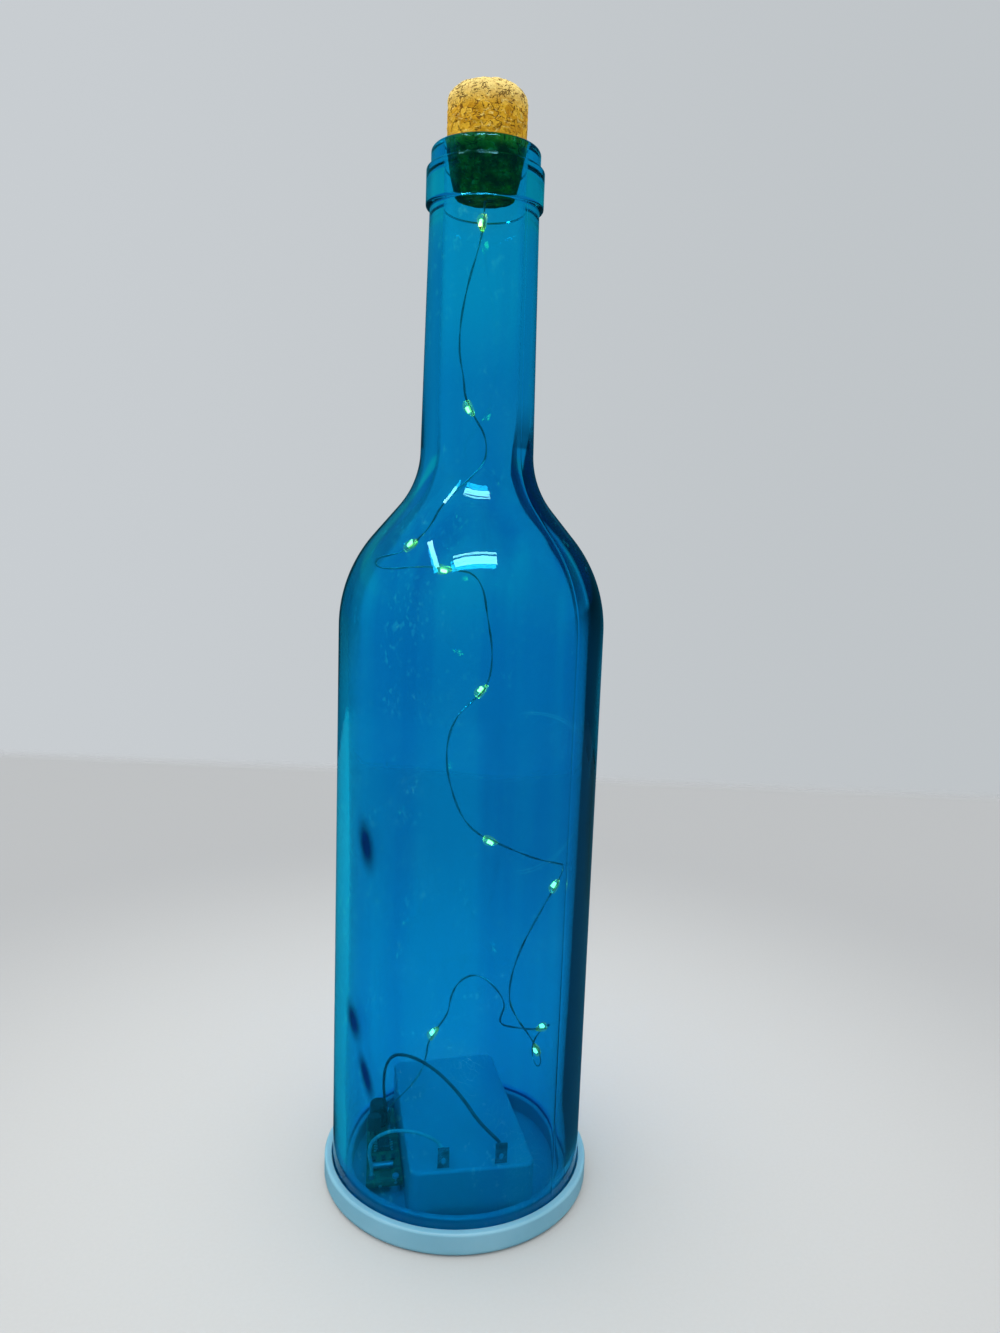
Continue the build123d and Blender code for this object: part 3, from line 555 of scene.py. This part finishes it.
# Lit chip: phosphor that glows warm white
chipLook = {
    "dark": (0.80, 0.62, 0.16, 1),
    "light": (0.92, 0.80, 0.36, 1),
    "grain": {"Cloud Scale": 1500.0, "Pebble Scale": 6000.0},
    "glow": (1.0, 0.62, 0.09, 1),
    "dimGlow": (0.42, 0.34, 0.15, 1),  # the lower lights, nearly flat cells
    "dimHeights": (0.060, 0.125),
    "strength": 15.0,
}


def makeLitChip(look):
    material, tree, place = newMaterial("litChip")
    grain = useGroup(tree, grainGroup, place, look["grain"])
    higher = ranged(tree, axesOf(tree, place)["Z"], *look["dimHeights"])
    inputs = {
        "Base Color": mix(tree, grain["Cloud"], look["dark"], look["light"]),
        "Roughness": 0.5,
        "Emission Color": mix(tree, higher, look["dimGlow"], look["glow"]),
        "Emission Strength": look["strength"],
    }
    finishMaterial(tree, inputs)
    return material


made = {
    "blueGlass": makeBlueGlass(glassLook),
    "cork": makeCork(corkLook),
    "greenBoard": makeBoard(boardLook),
    "litChip": makeLitChip(chipLook),
}
made |= {name: makeClear(clearLook, name, *values) for name, values in clears.items()}
made |= {name: makePlastic(name, *values) for name, values in plastics.items()}
made |= {name: makeMetal(name, *values) for name, values in metals.items()}
print("materials made,", len(bpy.data.materials))


# Pieces made from points and faces
def newPiece(name, points, faces, finish):
    mesh = bpy.data.meshes.new(name)
    mesh.from_pydata(points, [], faces)
    mesh.materials.append(made[finish])
    mesh.shade_smooth()
    piece = bpy.data.objects.new(name, mesh)
    scene.collection.objects.link(piece)
    return piece


def roundedOutline(corners, arcSteps, longestStep):
    # corners are (radius, height, rounding) in order, and the closed line has its long runs divided
    line = []
    count = len(corners)
    for i, (r, z, rounding) in enumerate(corners):
        corner = Vector((r, z))
        if rounding <= 0:
            line.append(corner)
            continue
        before = (Vector(corners[i - 1][:2]) - corner).normalized()
        after = (Vector(corners[(i + 1) % count][:2]) - corner).normalized()
        half = before.angle(after) / 2
        centre = corner + (before + after).normalized() * (rounding / sin(half))
        first = corner + before * (rounding / tan(half)) - centre
        last = corner + after * (rounding / tan(half)) - centre
        begin = atan2(first.y, first.x)
        turn = (atan2(last.y, last.x) - begin + pi) % (2 * pi) - pi
        steps = max(3, round(arcSteps * abs(turn) * sqrt(rounding / mm)))
        for step in range(steps + 1):
            angle = begin + turn * step / steps
            line.append(centre + Vector((cos(angle), sin(angle))) * rounding)
    full = []
    for here, there in zip(line, line[1:] + line[:1]):
        pieces = max(1, int((there - here).length / longestStep + 0.999))
        full += [here.lerp(there, part / pieces) for part in range(pieces)]
    return full


def ringFaces(rows, columns, closedRows):
    faces = []
    for row in range(rows if closedRows else rows - 1):
        here, above = row * columns, (row + 1) % rows * columns
        for column in range(columns):
            beside = (column + 1) % columns
            faces.append((here + column, here + beside, above + beside, above + column))
    return faces


def closedTube(rows, columns):
    last = (rows - 1) * columns
    ends = [tuple(range(columns - 1, -1, -1)), tuple(range(last, last + columns))]
    return ringFaces(rows, columns, False) + ends


# Bottle: turned glass with uneven inner wall, mould seams and a softly wavy outside
bottleSet = {
    "wall": 3.6 * mm,
    "shoulderLow": 184.3 * mm,
    "shoulderHigh": 210.1 * mm,
    "shoulderRound": 40.0 * mm,
    "neckRound": 24.0 * mm,
    "neckFoot": 16.1 * mm,
    "neckTop": 15.0 * mm,
    "bore": 11.25 * mm,
    "collarLow": 283.1 * mm,
    "collarHigh": 293.5 * mm,
    "collarRadius": 16.0 * mm,
    "collarRound": 0.9 * mm,
    "lipRadius": 14.8 * mm,
    "lipRound": 1.5 * mm,
    "mouthRound": 0.9 * mm,
    "innerCornerRound": 0.45 * mm,
    "cutEdge": 0.4 * mm,
    "segments": 200,
    "arcSteps": 5,
    "longestStep": 4.0 * mm,
    "seamAngles": (-52.0, 128.0),
    "seamHeight": 0.10 * mm,
    "seamWidth": 0.35 * mm,
    "seamColumns": (-2, -1, -0.5, 0, 0.5, 1, 2),  # in seam widths
    "waveHeight": 140 * mm,
    "innerWave": 0.26 * mm,
    "innerPitch": 1.9,
    "outerWave": 0.02 * mm,
    "outerPitch": 2.3,
    "outerShift": (5, 7, 3),
    "offCentre": -0.25 * mm,  # sideways, of the inner wall
    "fadeTop": 30 * mm,  # the inner wall is true at the shoulder and at the foot
    "footEnd": 12 * mm,
    "fadeFoot": 20 * mm,
}


def makeBottle(size):
    low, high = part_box("bottle")
    bodyRadius = high.x
    innerRadius = bodyRadius - size["wall"]
    lean = atan2(bodyRadius - size["neckFoot"], size["shoulderHigh"] - size["shoulderLow"])
    innerLow = size["shoulderLow"] - size["wall"] * tan(lean / 2)
    innerHigh = innerLow + (innerRadius - size["bore"]) / tan(lean)
    corners = [
        (bodyRadius, low.z, size["cutEdge"]),
        (bodyRadius, size["shoulderLow"], size["shoulderRound"]),
        (size["neckFoot"], size["shoulderHigh"], size["neckRound"]),
        (size["neckTop"], size["collarLow"], size["innerCornerRound"]),
        (size["collarRadius"], size["collarLow"], size["collarRound"]),
        (size["collarRadius"], size["collarHigh"], size["collarRound"]),
        (size["lipRadius"], size["collarHigh"], size["innerCornerRound"]),
        (size["lipRadius"], high.z, size["lipRound"]),
        (size["bore"], high.z, size["mouthRound"]),
        (size["bore"], innerHigh, size["neckRound"] + size["wall"]),
        (innerRadius, innerLow, size["shoulderRound"] - size["wall"]),
        (innerRadius, low.z, size["cutEdge"]),
    ]
    outline = roundedOutline(corners, size["arcSteps"], size["longestStep"])
    angles = [2 * pi * step / size["segments"] for step in range(size["segments"])]
    for seam in size["seamAngles"]:
        spread = size["seamWidth"] / bodyRadius
        angles += [radians(seam) % (2 * pi) + spread * part for part in size["seamColumns"]]
    angles.sort()
    mouthRow = max(range(len(outline)), key=lambda row: outline[row].y)
    points = []
    for row, spot in enumerate(outline):
        inside = row > mouthRow + 2 and spot.x < innerRadius + size["cutEdge"]
        belowTop = (size["shoulderHigh"] - spot.y) / size["fadeTop"]
        aboveFoot = (spot.y - size["footEnd"]) / size["fadeFoot"]
        fade = max(0.0, min(1.0, belowTop, aboveFoot))
        for angle in angles:
            spin = Vector((cos(angle), sin(angle), spot.y / size["waveHeight"]))
            radius, shift = spot.x, 0.0
            if inside:
                radius += size["innerWave"] * fade * noise.noise(spin * size["innerPitch"])
                shift = size["offCentre"] * fade
            elif spot.y < size["collarLow"]:
                wave = noise.noise(spin * size["outerPitch"] + Vector(size["outerShift"]))
                radius += size["outerWave"] * (wave - 0.5)
                for seam in size["seamAngles"]:
                    off = (angle - radians(seam) + pi) % (2 * pi) - pi
                    across = off * bodyRadius / size["seamWidth"]
                    radius += size["seamHeight"] * (exp(-(across**2)) - 1) / 2
            points.append((spin.x * radius + shift, spin.y * radius, spot.y))
    faces = ringFaces(len(outline), len(angles), True)
    piece = newPiece("bottleGlass", points, faces, "blueGlass")
    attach(piece, "lamp")
    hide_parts("bottle")


makeBottle(bottleSet)
print("bottle turned")

# Cork stopper: crumbly granules that stand a little in and out
corkSet = {
    "top": 4.5 * mm,
    "tip": 1.5 * mm,
    "shoulderTaper": 1.25 * mm,
    "shoulderDepth": 8.2 * mm,
    "tipTaper": 2.75 * mm,
    "depth": 13.2 * mm,
    "centre": 0.05 * mm,
    "segments": 176,
    "arcSteps": 9,
    "step": 0.42 * mm,
    "granule": 2.4 * mm,
    "relief": 0.22 * mm,
    "standing": 0.55,  # shares of the relief
    "setIn": 0.75,
    "crack": 0.5,
    "crumb": 0.3,
    "standPitch": 7.3,
    "crackWidth": 0.22,
    "crumbPitch": 2400,
    "upright": 0.55,  # how far the relief follows the end faces
}


def makeCorkStopper(size):
    low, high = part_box("cork")
    radius = high.x
    mouth = low.z + size["depth"]
    corners = [
        (size["centre"], low.z, 0),
        (radius - size["tipTaper"], low.z, size["tip"]),
        (radius - size["shoulderTaper"], mouth - size["shoulderDepth"], 0),
        (radius, mouth, 0),
        (radius, high.z, size["top"]),
        (size["centre"], high.z, 0),
    ]
    outline = roundedOutline(corners, size["arcSteps"], size["step"])
    lastRow = max(row for row, spot in enumerate(outline) if spot.y >= high.z - 1e-7) + 1
    outline = outline[:lastRow]
    points = []
    for spot in outline:
        for column in range(size["segments"]):
            angle = 2 * pi * column / size["segments"]
            place = Vector((cos(angle) * spot.x, sin(angle) * spot.x, spot.y))
            gaps, seeds = noise.voronoi(place / size["granule"], distance_metric="DISTANCE")
            stand = size["standing"] * noise.cell(seeds[0] * size["standPitch"])
            sink = size["crack"] * max(0.0, 1 - (gaps[1] - gaps[0]) / size["crackWidth"])
            crumb = size["crumb"] * noise.noise(place * size["crumbPitch"])
            move = size["relief"] * (stand - size["setIn"] - sink + crumb)
            rise = size["upright"] * (place.z - (low.z + high.z) / 2)
            outward = Vector((place.x, place.y, rise)).normalized()
            points.append(place + outward * min(0.0, move))
    faces = closedTube(len(outline), size["segments"])
    piece = newPiece("corkStopper", points, faces, "cork")
    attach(piece, "cork")
    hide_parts("cork")


makeCorkStopper(corkSet)
print("cork made")


# Cords: each route is a smooth spline through its given points, in tenths of a millimetre
def metres(*spots):
    return [tuple(part / 10000 for part in spot) for spot in spots]


def makeRoute(name, route):
    data = bpy.data.curves.new(name, "CURVE")
    data.dimensions = "3D"
    data.resolution_u = 16  # steps between points
    spline = data.splines.new("NURBS")
    spline.points.add(len(route) - 1)
    for point, place in zip(spline.points, route):
        point.co = (*place, 1)
    spline.order_u = 3
    spline.use_endpoint_u = True
    cord = bpy.data.objects.new(name, data)
    scene.collection.objects.link(cord)
    return cord


def pointsOn(cord):
    ready = cord.evaluated_get(bpy.context.evaluated_depsgraph_get())
    line = bpy.data.meshes.new_from_object(ready)
    points = [vertex.co.copy() for vertex in line.vertices]
    bpy.data.meshes.remove(line)
    return points


leadSet = {
    "radius": 0.5 * mm,
    "leads": {
        "leadPositive": {
            "finish": "greyInsulation",
            "node": "lead_positive",
            "length": 0.0417,
            "route": metres(
                (-264, -114, 70.2), (-264, -114, 110), (-274, -126, 156), (-266, -150, 216),
                (-222, -188, 266), (-166, -224, 284), (-116, -238, 272), (-80, -244, 246),
                (-80, -274, 246),
            ),
        },
        "leadNegative": {
            "finish": "blackInsulation",
            "node": "lead_negative",
            "length": 0.0769,
            "route": metres(
                (-212, 182, 70.2), (-212, 182, 126), (-218, 180, 196), (-210, 168, 262),
                (-188, 144, 308), (-156, 106, 330), (-115, 56, 339), (-71, 0, 336),
                (-30, -61, 323), (6, -130, 302), (30, -190, 278), (60, -232, 260),
                (80, -250, 246), (80, -274, 246),
            ),
        },
    },
}


def makeLeads(size):
    for name, lead in size["leads"].items():
        cord = makeRoute(name, lead["route"])
        cord.data.bevel_depth = size["radius"]
        cord.data.bevel_resolution = 4
        cord.data.use_fill_caps = True
        cord.data.materials.append(made[lead["finish"]])
        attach(cord, "lamp")
        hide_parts(lead["node"])


makeLeads(leadSet)
print("leads laid")

# Light string: two enamelled strands side by side, slowly turning about each other
stringSet = {
    "strandRadius": 0.15 * mm,
    "strandOffset": 0.16 * mm,
    "sides": 8,
    "turnEvery": 21.0 * mm,
    "length": 0.4915,
    "blendStart": (0, 0, 0.197),
    "blendEnd": (0, 0, 0.282),
    "route": metres(
        (-200, 116, 70.2), (-200, 116, 116), (-204, 68, 178), (-176, 26, 234),
        (-134, 30, 274), (-102, 50, 306), (-86, 66, 348), (-82, 70, 390),
        (-46, 64, 444), (-24, 45, 494), (-22, 34, 548), (-6, 12, 606),
        (34, -17, 645), (72, -44, 640), (108, -70, 608), (124, -86, 572),
        (108, -89, 540), (112, -76, 506), (165, -50, 480), (228, -22, 453),
        (296, 8, 442), (320, 64, 420), (306, 118, 376), (280, 149, 318),
        (273, 134, 267), (286, 90, 254), (293, 60, 302), (240, 39, 392),
        (182, 10, 478), (149, -15, 555), (158, -19, 645), (194, -5, 730),
        (240, 17, 798), (278, 37, 856), (320, 46, 920), (326, 12, 964),
        (296, -28, 986), (230, -56, 1009), (160, -77, 1040), (94, -88, 1073),
        (28, -86, 1102), (-20, -89, 1146), (-53, -82, 1224), (-71, -69, 1309),
        (-64, -50, 1389), (-35, -34, 1450), (10, -23, 1489), (55, -10, 1536),
        (66, 9, 1626), (48, 22, 1730), (37, 25, 1806), (4, 10, 1852),
        (-48, -2, 1860), (-119, 1, 1869), (-180, 39, 1865), (-236, 62, 1860),
        (-280, 61, 1864), (-280, 58, 1888), (-244, 52, 1900), (-204, 48, 1908),
        (-154, 24, 1942), (-123, 12, 1978), (-100, -2, 2028), (-58, -10, 2076),
        (-9, 2, 2122), (32, 15, 2174), (27, 17, 2237), (-8, 12, 2284),
        (-38, 7, 2334), (-43, 7, 2388), (-57, 20, 2454), (-56, 21, 2532),
        (-46, 8, 2602), (-33, -4, 2664), (-17, -7, 2719), (-5, 1, 2768),
        (0, 0, 2824), (0, 0, 2879),
    ),
    "lightRuns": [7, 19, 26, 33, 39, 46, 52, 59, 67, 75],  # a light sits in the middle of each of these runs
}
dropSet = {
    "radius": 1.45 * mm,
    "length": 4.7 * mm,
    "neck": 0.42 * mm,
    "fatShare": 0.62,  # below 1 the fat end moves towards the start
    "fullness": 0.85,  # below 1 the ends are blunter
    "sag": 0.25,  # off the wire, in radii
    "rings": 26,
    "sides": 24,
    "wobble": 0.10,
    "lumpPitch": 1.3,
    "lumpShift": 3.1,  # from drop to drop
    "lumpRun": 2,  # from end to end
    "turned": (1, 0, 1, 1, 0, 1, 0, 1, 0, 0),  # which way the fat end faces
    "dieLength": 1.6 * mm,
    "dieWidth": 0.9 * mm,
    "dieHeight": 0.5 * mm,
    "dieRound": 0.12 * mm,
    "dieLift": 0.58 * mm,
}


def frameAlong(points):
    # a steady pair of side directions at each point
    ways = []
    for i in range(len(points)):
        way = points[min(i + 1, len(points) - 1)] - points[max(i - 1, 0)]
        ways.append(way.normalized())
    side = ways[0].orthogonal().normalized()
    sides = []
    for way in ways:
        side = (side - way * side.dot(way)).normalized()
        sides.append(side.copy())
    return ways, sides


def makeString(size, drops):
    guide = makeRoute("stringGuide", size["route"])
    line = pointsOn(guide)
    bpy.data.objects.remove(guide)
    ways, sides = frameAlong(line)
    around = size["sides"]
    points, faces = [], []
    for strand in (0, 1):
        travelled = 0.0
        first = len(points)
        for i, spot in enumerate(line):
            travelled += (spot - line[max(i - 1, 0)]).length
            over = ways[i].cross(sides[i])
            swing = 2 * pi * travelled / size["turnEvery"] + pi * strand
            middle = spot + (sides[i] * cos(swing) + over * sin(swing)) * size["strandOffset"]
            for step in range(around):
                turn = 2 * pi * step / around
                points.append(middle + (sides[i] * cos(turn) + over * sin(turn)) * size["strandRadius"])
        faces += [tuple(first + corner for corner in face) for face in closedTube(len(line), around)]
    string = newPiece("lightString", points, faces, "enamelledWire")
    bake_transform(string)
    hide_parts("light_wire")
    for number, run in enumerate(size["lightRuns"], start=1):
        target = (Vector(size["route"][run]) + Vector(size["route"][run + 1])) / 2
        nearest = min(range(len(line)), key=lambda i: (line[i] - target).length)
        place, way = line[nearest], ways[nearest]
        outward = way.cross(Vector((0, 1, 0))).normalized()
        for piece in (
            makeDrop(number, place, way, outward, drops),
            makeDie(number, place, way, outward, drops),
        ):
            if place.z > size["blendStart"][2]:
                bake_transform(piece)
            else:
                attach(piece, "lamp")


def makeDrop(number, place, way, outward, size):
    # a teardrop of epoxy run along the wire, no two alike
    facing = way if size["turned"][number - 1] else -way
    over = facing.cross(outward)
    points = []
    for ring in range(size["rings"] + 1):
        share = ring / size["rings"]
        swell = sin(pi * share ** size["fatShare"]) ** size["fullness"] if 0 < share < 1 else 0.0
        radius = size["neck"] + (size["radius"] - size["neck"]) * swell
        centre = place + facing * (size["length"] * (share - 0.5))
        centre += outward * (size["sag"] * size["radius"] * swell)
        for step in range(size["sides"]):
            turn = 2 * pi * step / size["sides"]
            ray = outward * cos(turn) + over * sin(turn)
            seed = Vector((number * size["lumpShift"], share * size["lumpRun"], 0))
            lump = 1 + size["wobble"] * swell * noise.noise(ray * size["lumpPitch"] + seed)
            points.append(centre + ray * radius * lump)
    faces = closedTube(size["rings"] + 1, size["sides"])
    piece = newPiece(f"ledDrop{number:02d}", points, faces, "clearEpoxy")
    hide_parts(f"led_drop_{number:02d}")
    return piece


def makeDie(number, place, way, outward, size):
    # the chip on its little carrier beside the wire
    over = way.cross(outward)
    block = bmesh.new()
    bmesh.ops.create_cube(block, size=1.0)
    turn = Matrix((way, over, outward)).transposed().to_4x4()
    scale = Matrix.Diagonal((size["dieLength"], size["dieWidth"], size["dieHeight"], 1))
    bmesh.ops.transform(block, matrix=scale, verts=block.verts)
    bmesh.ops.bevel(block, geom=block.edges, offset=size["dieRound"], segments=3, affect="EDGES", profile=0.5)
    spot = Matrix.Translation(place + outward * size["dieLift"])
    bmesh.ops.transform(block, matrix=spot @ turn, verts=block.verts)
    points = [vertex.co.copy() for vertex in block.verts]
    faces = [tuple(vertex.index for vertex in face.verts) for face in block.faces]
    block.free()
    piece = newPiece(f"ledChip{number:02d}", points, faces, "litChip")
    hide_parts(f"led_chip_{number:02d}")
    return piece


makeString(stringSet, dropSet)
print("light string hung")

# The CAD pieces that keep their shape get their finish
finishes = {
    "milkyPlastic": ["base_tray"],
    "clearGlue": ["adhesive_ring"],
    "doorPlastic": ["battery_door"],
    "cellSleeve": ["battery_left", "battery_right"],
    "platedSteel": ["terminal_positive", "terminal_negative", "link_plate", "spring_front", "spring_rear"],
    "greenBoard": ["circuit_board"],
    "blackSleeve": ["capacitor"],
    "blackEpoxy": ["timer_chip", "transistor"],
    "tinnedMetal": ["chip_pins", "switch_body"],
    "dullCan": ["crystal"],
    "darkCeramic": ["resistors"],
    "blackPlastic": ["switch_slider"],
    "solder": ["solder_joints"],
}
for finish, names in finishes.items():
    for name in names:
        nodes[name].data.materials.clear()
        nodes[name].data.materials.append(made[finish])
print("finishes given to", sum(len(names) for names in finishes.values()), "nodes")

# Studio: pale floor that fades into a pale surround, darker in front and to the right as the glass sees it
studio = {
    "floorRadius": 0.80,
    "floorSides": 96,
    "rimFade": (0.66, 0.78),
    "foldWay": (0.235, 0.972, 0.0),  # the floor sheet ends along a straight fold behind the bottle
    "foldFade": (0.452, 0.492),
    "floor": (0.490, 0.490, 0.478, 1),
    "farFloor": (0.342, 0.344, 0.344, 1),
    "farFade": (0.05, 0.32),
    "fibre": (900.0, 3.0),
    "fibreShare": 0.05,
    "left": (0.585, 0.617, 0.645, 1),
    "right": (0.520, 0.552, 0.575, 1),
    "shade": (0.004, 0.030, 0.055, 1),
    "mirror": (0.004, 0.060, 0.095, 1),  # what shows in reflections
    "mirrorBack": (0.020, 0.210, 0.290, 1),
    "edgeFaces": 2.5,  # rays through fewer faces go along an edge of the glass
    "edgeLight": (0.03, 0.36, 0.45, 1),  # what the glass edges gather
    "edgeNeck": (0.02, 0.30, 0.46, 1),
    "edgeCollar": (0.03, 0.48, 0.48, 1),
    "edgeCollarRight": (0.02, 0.33, 0.38, 1),
    "edgeShoulder": (0.02, 0.22, 0.42, 1),
    "edgeFloor": (0.03, 0.46, 0.47, 1),
    "edgeFloorSide": (0.0, 0.06),
    "insideLight": (0.80, 1.30, 0.86, 1),  # what reaches the tray through the glass
    "horizon": (0.46, 0.485, 0.505, 1),
    "overhead": (2.30, 2.33, 2.36, 1),
    "overheadRight": (1.42, 1.45, 1.48, 1),
    "brightWay": (-0.85, 0.53, 0.0),
    "brightSpan": (0.10, 0.36),
    "spans": {  # axis of the surround and the span along it
        "plain": ("X", -0.45, 0.75),
        "domeRight": ("X", -0.7, 0.7),
        "domeHigh": ("Z", 0.0, 0.8),
        "litHigh": ("Z", 0.03, 0.09),
        "litBehind": ("Y", -0.3, 0.1),
        "neck": ("Z", -0.10, 0.0),
        "collar": ("Z", 0.20, 0.27),
        "collarRight": ("X", -0.3, 0.3),
        "shoulder": ("Z", 0.33, 0.40),
        "mirrorBehind": ("Y", 0.1, 0.6),
        "mirrorLeft": ("X", -0.3, 0.0, 0.55, 0.0),
        "mirrorLeftHigh": ("Z", 0.06, 0.18),
        "mirrorWide": ("X", 0.45, 0.60, 1.0, 0.0),
        "mirrorWideHigh": ("Z", 0.19, 0.25),
    },
    "strips": {  # place, size, direction of the long side and power
        "frontStrip": ((-0.089, -0.690, 1.350), (0.78, 0.17), (1, 0, 0), 8.8),
        "frontLine": ((-0.087, -0.570, 1.430), (0.78, 0.05), (1, 0, 0), 2.2),
        "leftStrip": ((-0.695, -0.258, 1.283), (0.62, 0.075), (0.10, 0.967, 0.235), 3.1),
    },
    "aim": (-0.008, -0.028, 0.190),
}


def makeFloor(look):
    disc = bmesh.new()
    bmesh.ops.create_circle(disc, cap_ends=True, segments=look["floorSides"], radius=look["floorRadius"])
    mesh = bpy.data.meshes.new("floor")
    disc.to_mesh(mesh)
    disc.free()
    floor = bpy.data.objects.new("floor", mesh)
    scene.collection.objects.link(floor)
    material, tree, place = newMaterial("paleFloor")
    away = vectors(tree, "LENGTH", place)
    back = vectors(tree, "DOT_PRODUCT", place, look["foldWay"])
    fibre = times(tree, noiseAt(tree, place, *look["fibre"]), look["fibreShare"])
    sheet = mix(tree, ranged(tree, away, *look["farFade"]), look["floor"], look["farFloor"])
    plain = mix(tree, fibre, sheet, look["shade"])
    path = put(tree, "LightPath").outputs
    side = axesOf(tree, place)["X"]
    edgeRay = sums(tree, "LESS_THAN", path["Transmission Depth"], look["edgeFaces"])
    edgeRay = times(tree, edgeRay, path["Is Transmission Ray"])
    colour = mix(tree, path["Is Glossy Ray"], plain, look["mirror"])
    gathered = mix(tree, ranged(tree, side, *look["edgeFloorSide"]), look["edgeFloor"], look["shade"])
    through = mix(tree, edgeRay, plain, gathered)
    colour = mix(tree, path["Is Transmission Ray"], colour, through)
    fade = most(tree, ranged(tree, away, *look["rimFade"]), ranged(tree, back, *look["foldFade"]))
    finishMaterial(tree, {"Base Color": colour, "Roughness": 0.9, "Specular IOR Level": 0.1}, fade)
    mesh.materials.append(material)


def makeSurround(look):
    world = bpy.data.worlds.new("studioSurround")
    world.use_nodes = True
    tree = world.node_tree
    tree.nodes.clear()
    way = put(tree, "TexCoord").outputs["Generated"]
    axes = axesOf(tree, way)
    path = put(tree, "LightPath").outputs

    def over(name):
        axis, *span = look["spans"][name]
        return ranged(tree, axes[axis], *span)

    plain = mix(tree, over("plain"), look["left"], look["right"])
    dome = mix(tree, over("domeRight"), look["overhead"], look["overheadRight"])
    dome = mix(tree, over("domeHigh"), look["horizon"], dome)
    bright = Vector(look["brightWay"]).normalized()
    facing = vectors(tree, "DOT_PRODUCT", way, bright)
    lit = most(tree, ranged(tree, facing, *look["brightSpan"]), over("litHigh"))
    lit = times(tree, lit, over("litBehind"))
    gathered = mix(tree, over("neck"), look["edgeLight"], look["edgeNeck"])
    collar = mix(tree, over("collarRight"), look["edgeCollar"], look["edgeCollarRight"])
    gathered = mix(tree, over("collar"), gathered, collar)
    gathered = mix(tree, over("shoulder"), gathered, look["edgeShoulder"])
    edgeRay = sums(tree, "LESS_THAN", path["Transmission Depth"], look["edgeFaces"])
    through = mix(tree, edgeRay, plain, mix(tree, lit, look["shade"], gathered))
    inside = sums(tree, "GREATER_THAN", path["Diffuse Depth"], 0.5)
    through = mix(tree, inside, through, look["insideLight"])
    leftPart = times(tree, over("mirrorLeft"), over("mirrorLeftHigh"))
    widePart = times(tree, over("mirrorWide"), over("mirrorWideHigh"))
    behind = times(tree, over("mirrorBehind"), most(tree, leftPart, widePart))
    mirror = mix(tree, behind, look["mirror"], look["mirrorBack"])
    colour = mix(tree, path["Is Glossy Ray"], dome, mirror)
    colour = mix(tree, path["Is Transmission Ray"], colour, through)
    colour = mix(tree, path["Is Camera Ray"], colour, plain)
    back = put(tree, "Background", {"Color": colour})
    put(tree, "OutputWorld", {"Surface": back.outputs[0]})
    world.cycles.sampling_method = "NONE"
    scene.world = world


def makeStrips(look):
    for name, (place, size, along, power) in look["strips"].items():
        lamp = bpy.data.lights.new(name, "AREA")
        lamp.shape = "RECTANGLE"
        lamp.size, lamp.size_y = size
        lamp.energy = power
        light = bpy.data.objects.new(name, lamp)
        down = (Vector(look["aim"]) - Vector(place)).normalized()
        along = Vector(along)
        along = (along - down * along.dot(down)).normalized()
        turn = Matrix((along, (-down).cross(along), -down)).transposed().to_4x4()
        light.matrix_world = Matrix.Translation(place) @ turn
        light.visible_camera = False
        light.visible_diffuse = False
        scene.collection.objects.link(light)


makeFloor(studio)
makeSurround(studio)
makeStrips(studio)
scene.view_settings.view_transform = "Standard"
scene.cycles.max_bounces = 24
scene.cycles.transmission_bounces = 20
scene.cycles.transparent_max_bounces = 24
print("studio lit")


# Lens bloom around the lit drops
def makeBloom(threshold, strength, size):
    scene.use_nodes = True
    tree = scene.node_tree
    tree.nodes.clear()
    layers = tree.nodes.new("CompositorNodeRLayers")
    glare = tree.nodes.new("CompositorNodeGlare")
    glare.glare_type = "BLOOM"
    glare.inputs["Threshold"].default_value = threshold
    glare.inputs["Strength"].default_value = strength
    glare.inputs["Size"].default_value = size
    out = tree.nodes.new("CompositorNodeComposite")
    tree.links.new(layers.outputs["Image"], glare.inputs["Image"])
    tree.links.new(glare.outputs["Image"], out.inputs["Image"])


makeBloom(threshold=1.2, strength=0.35, size=0.25)
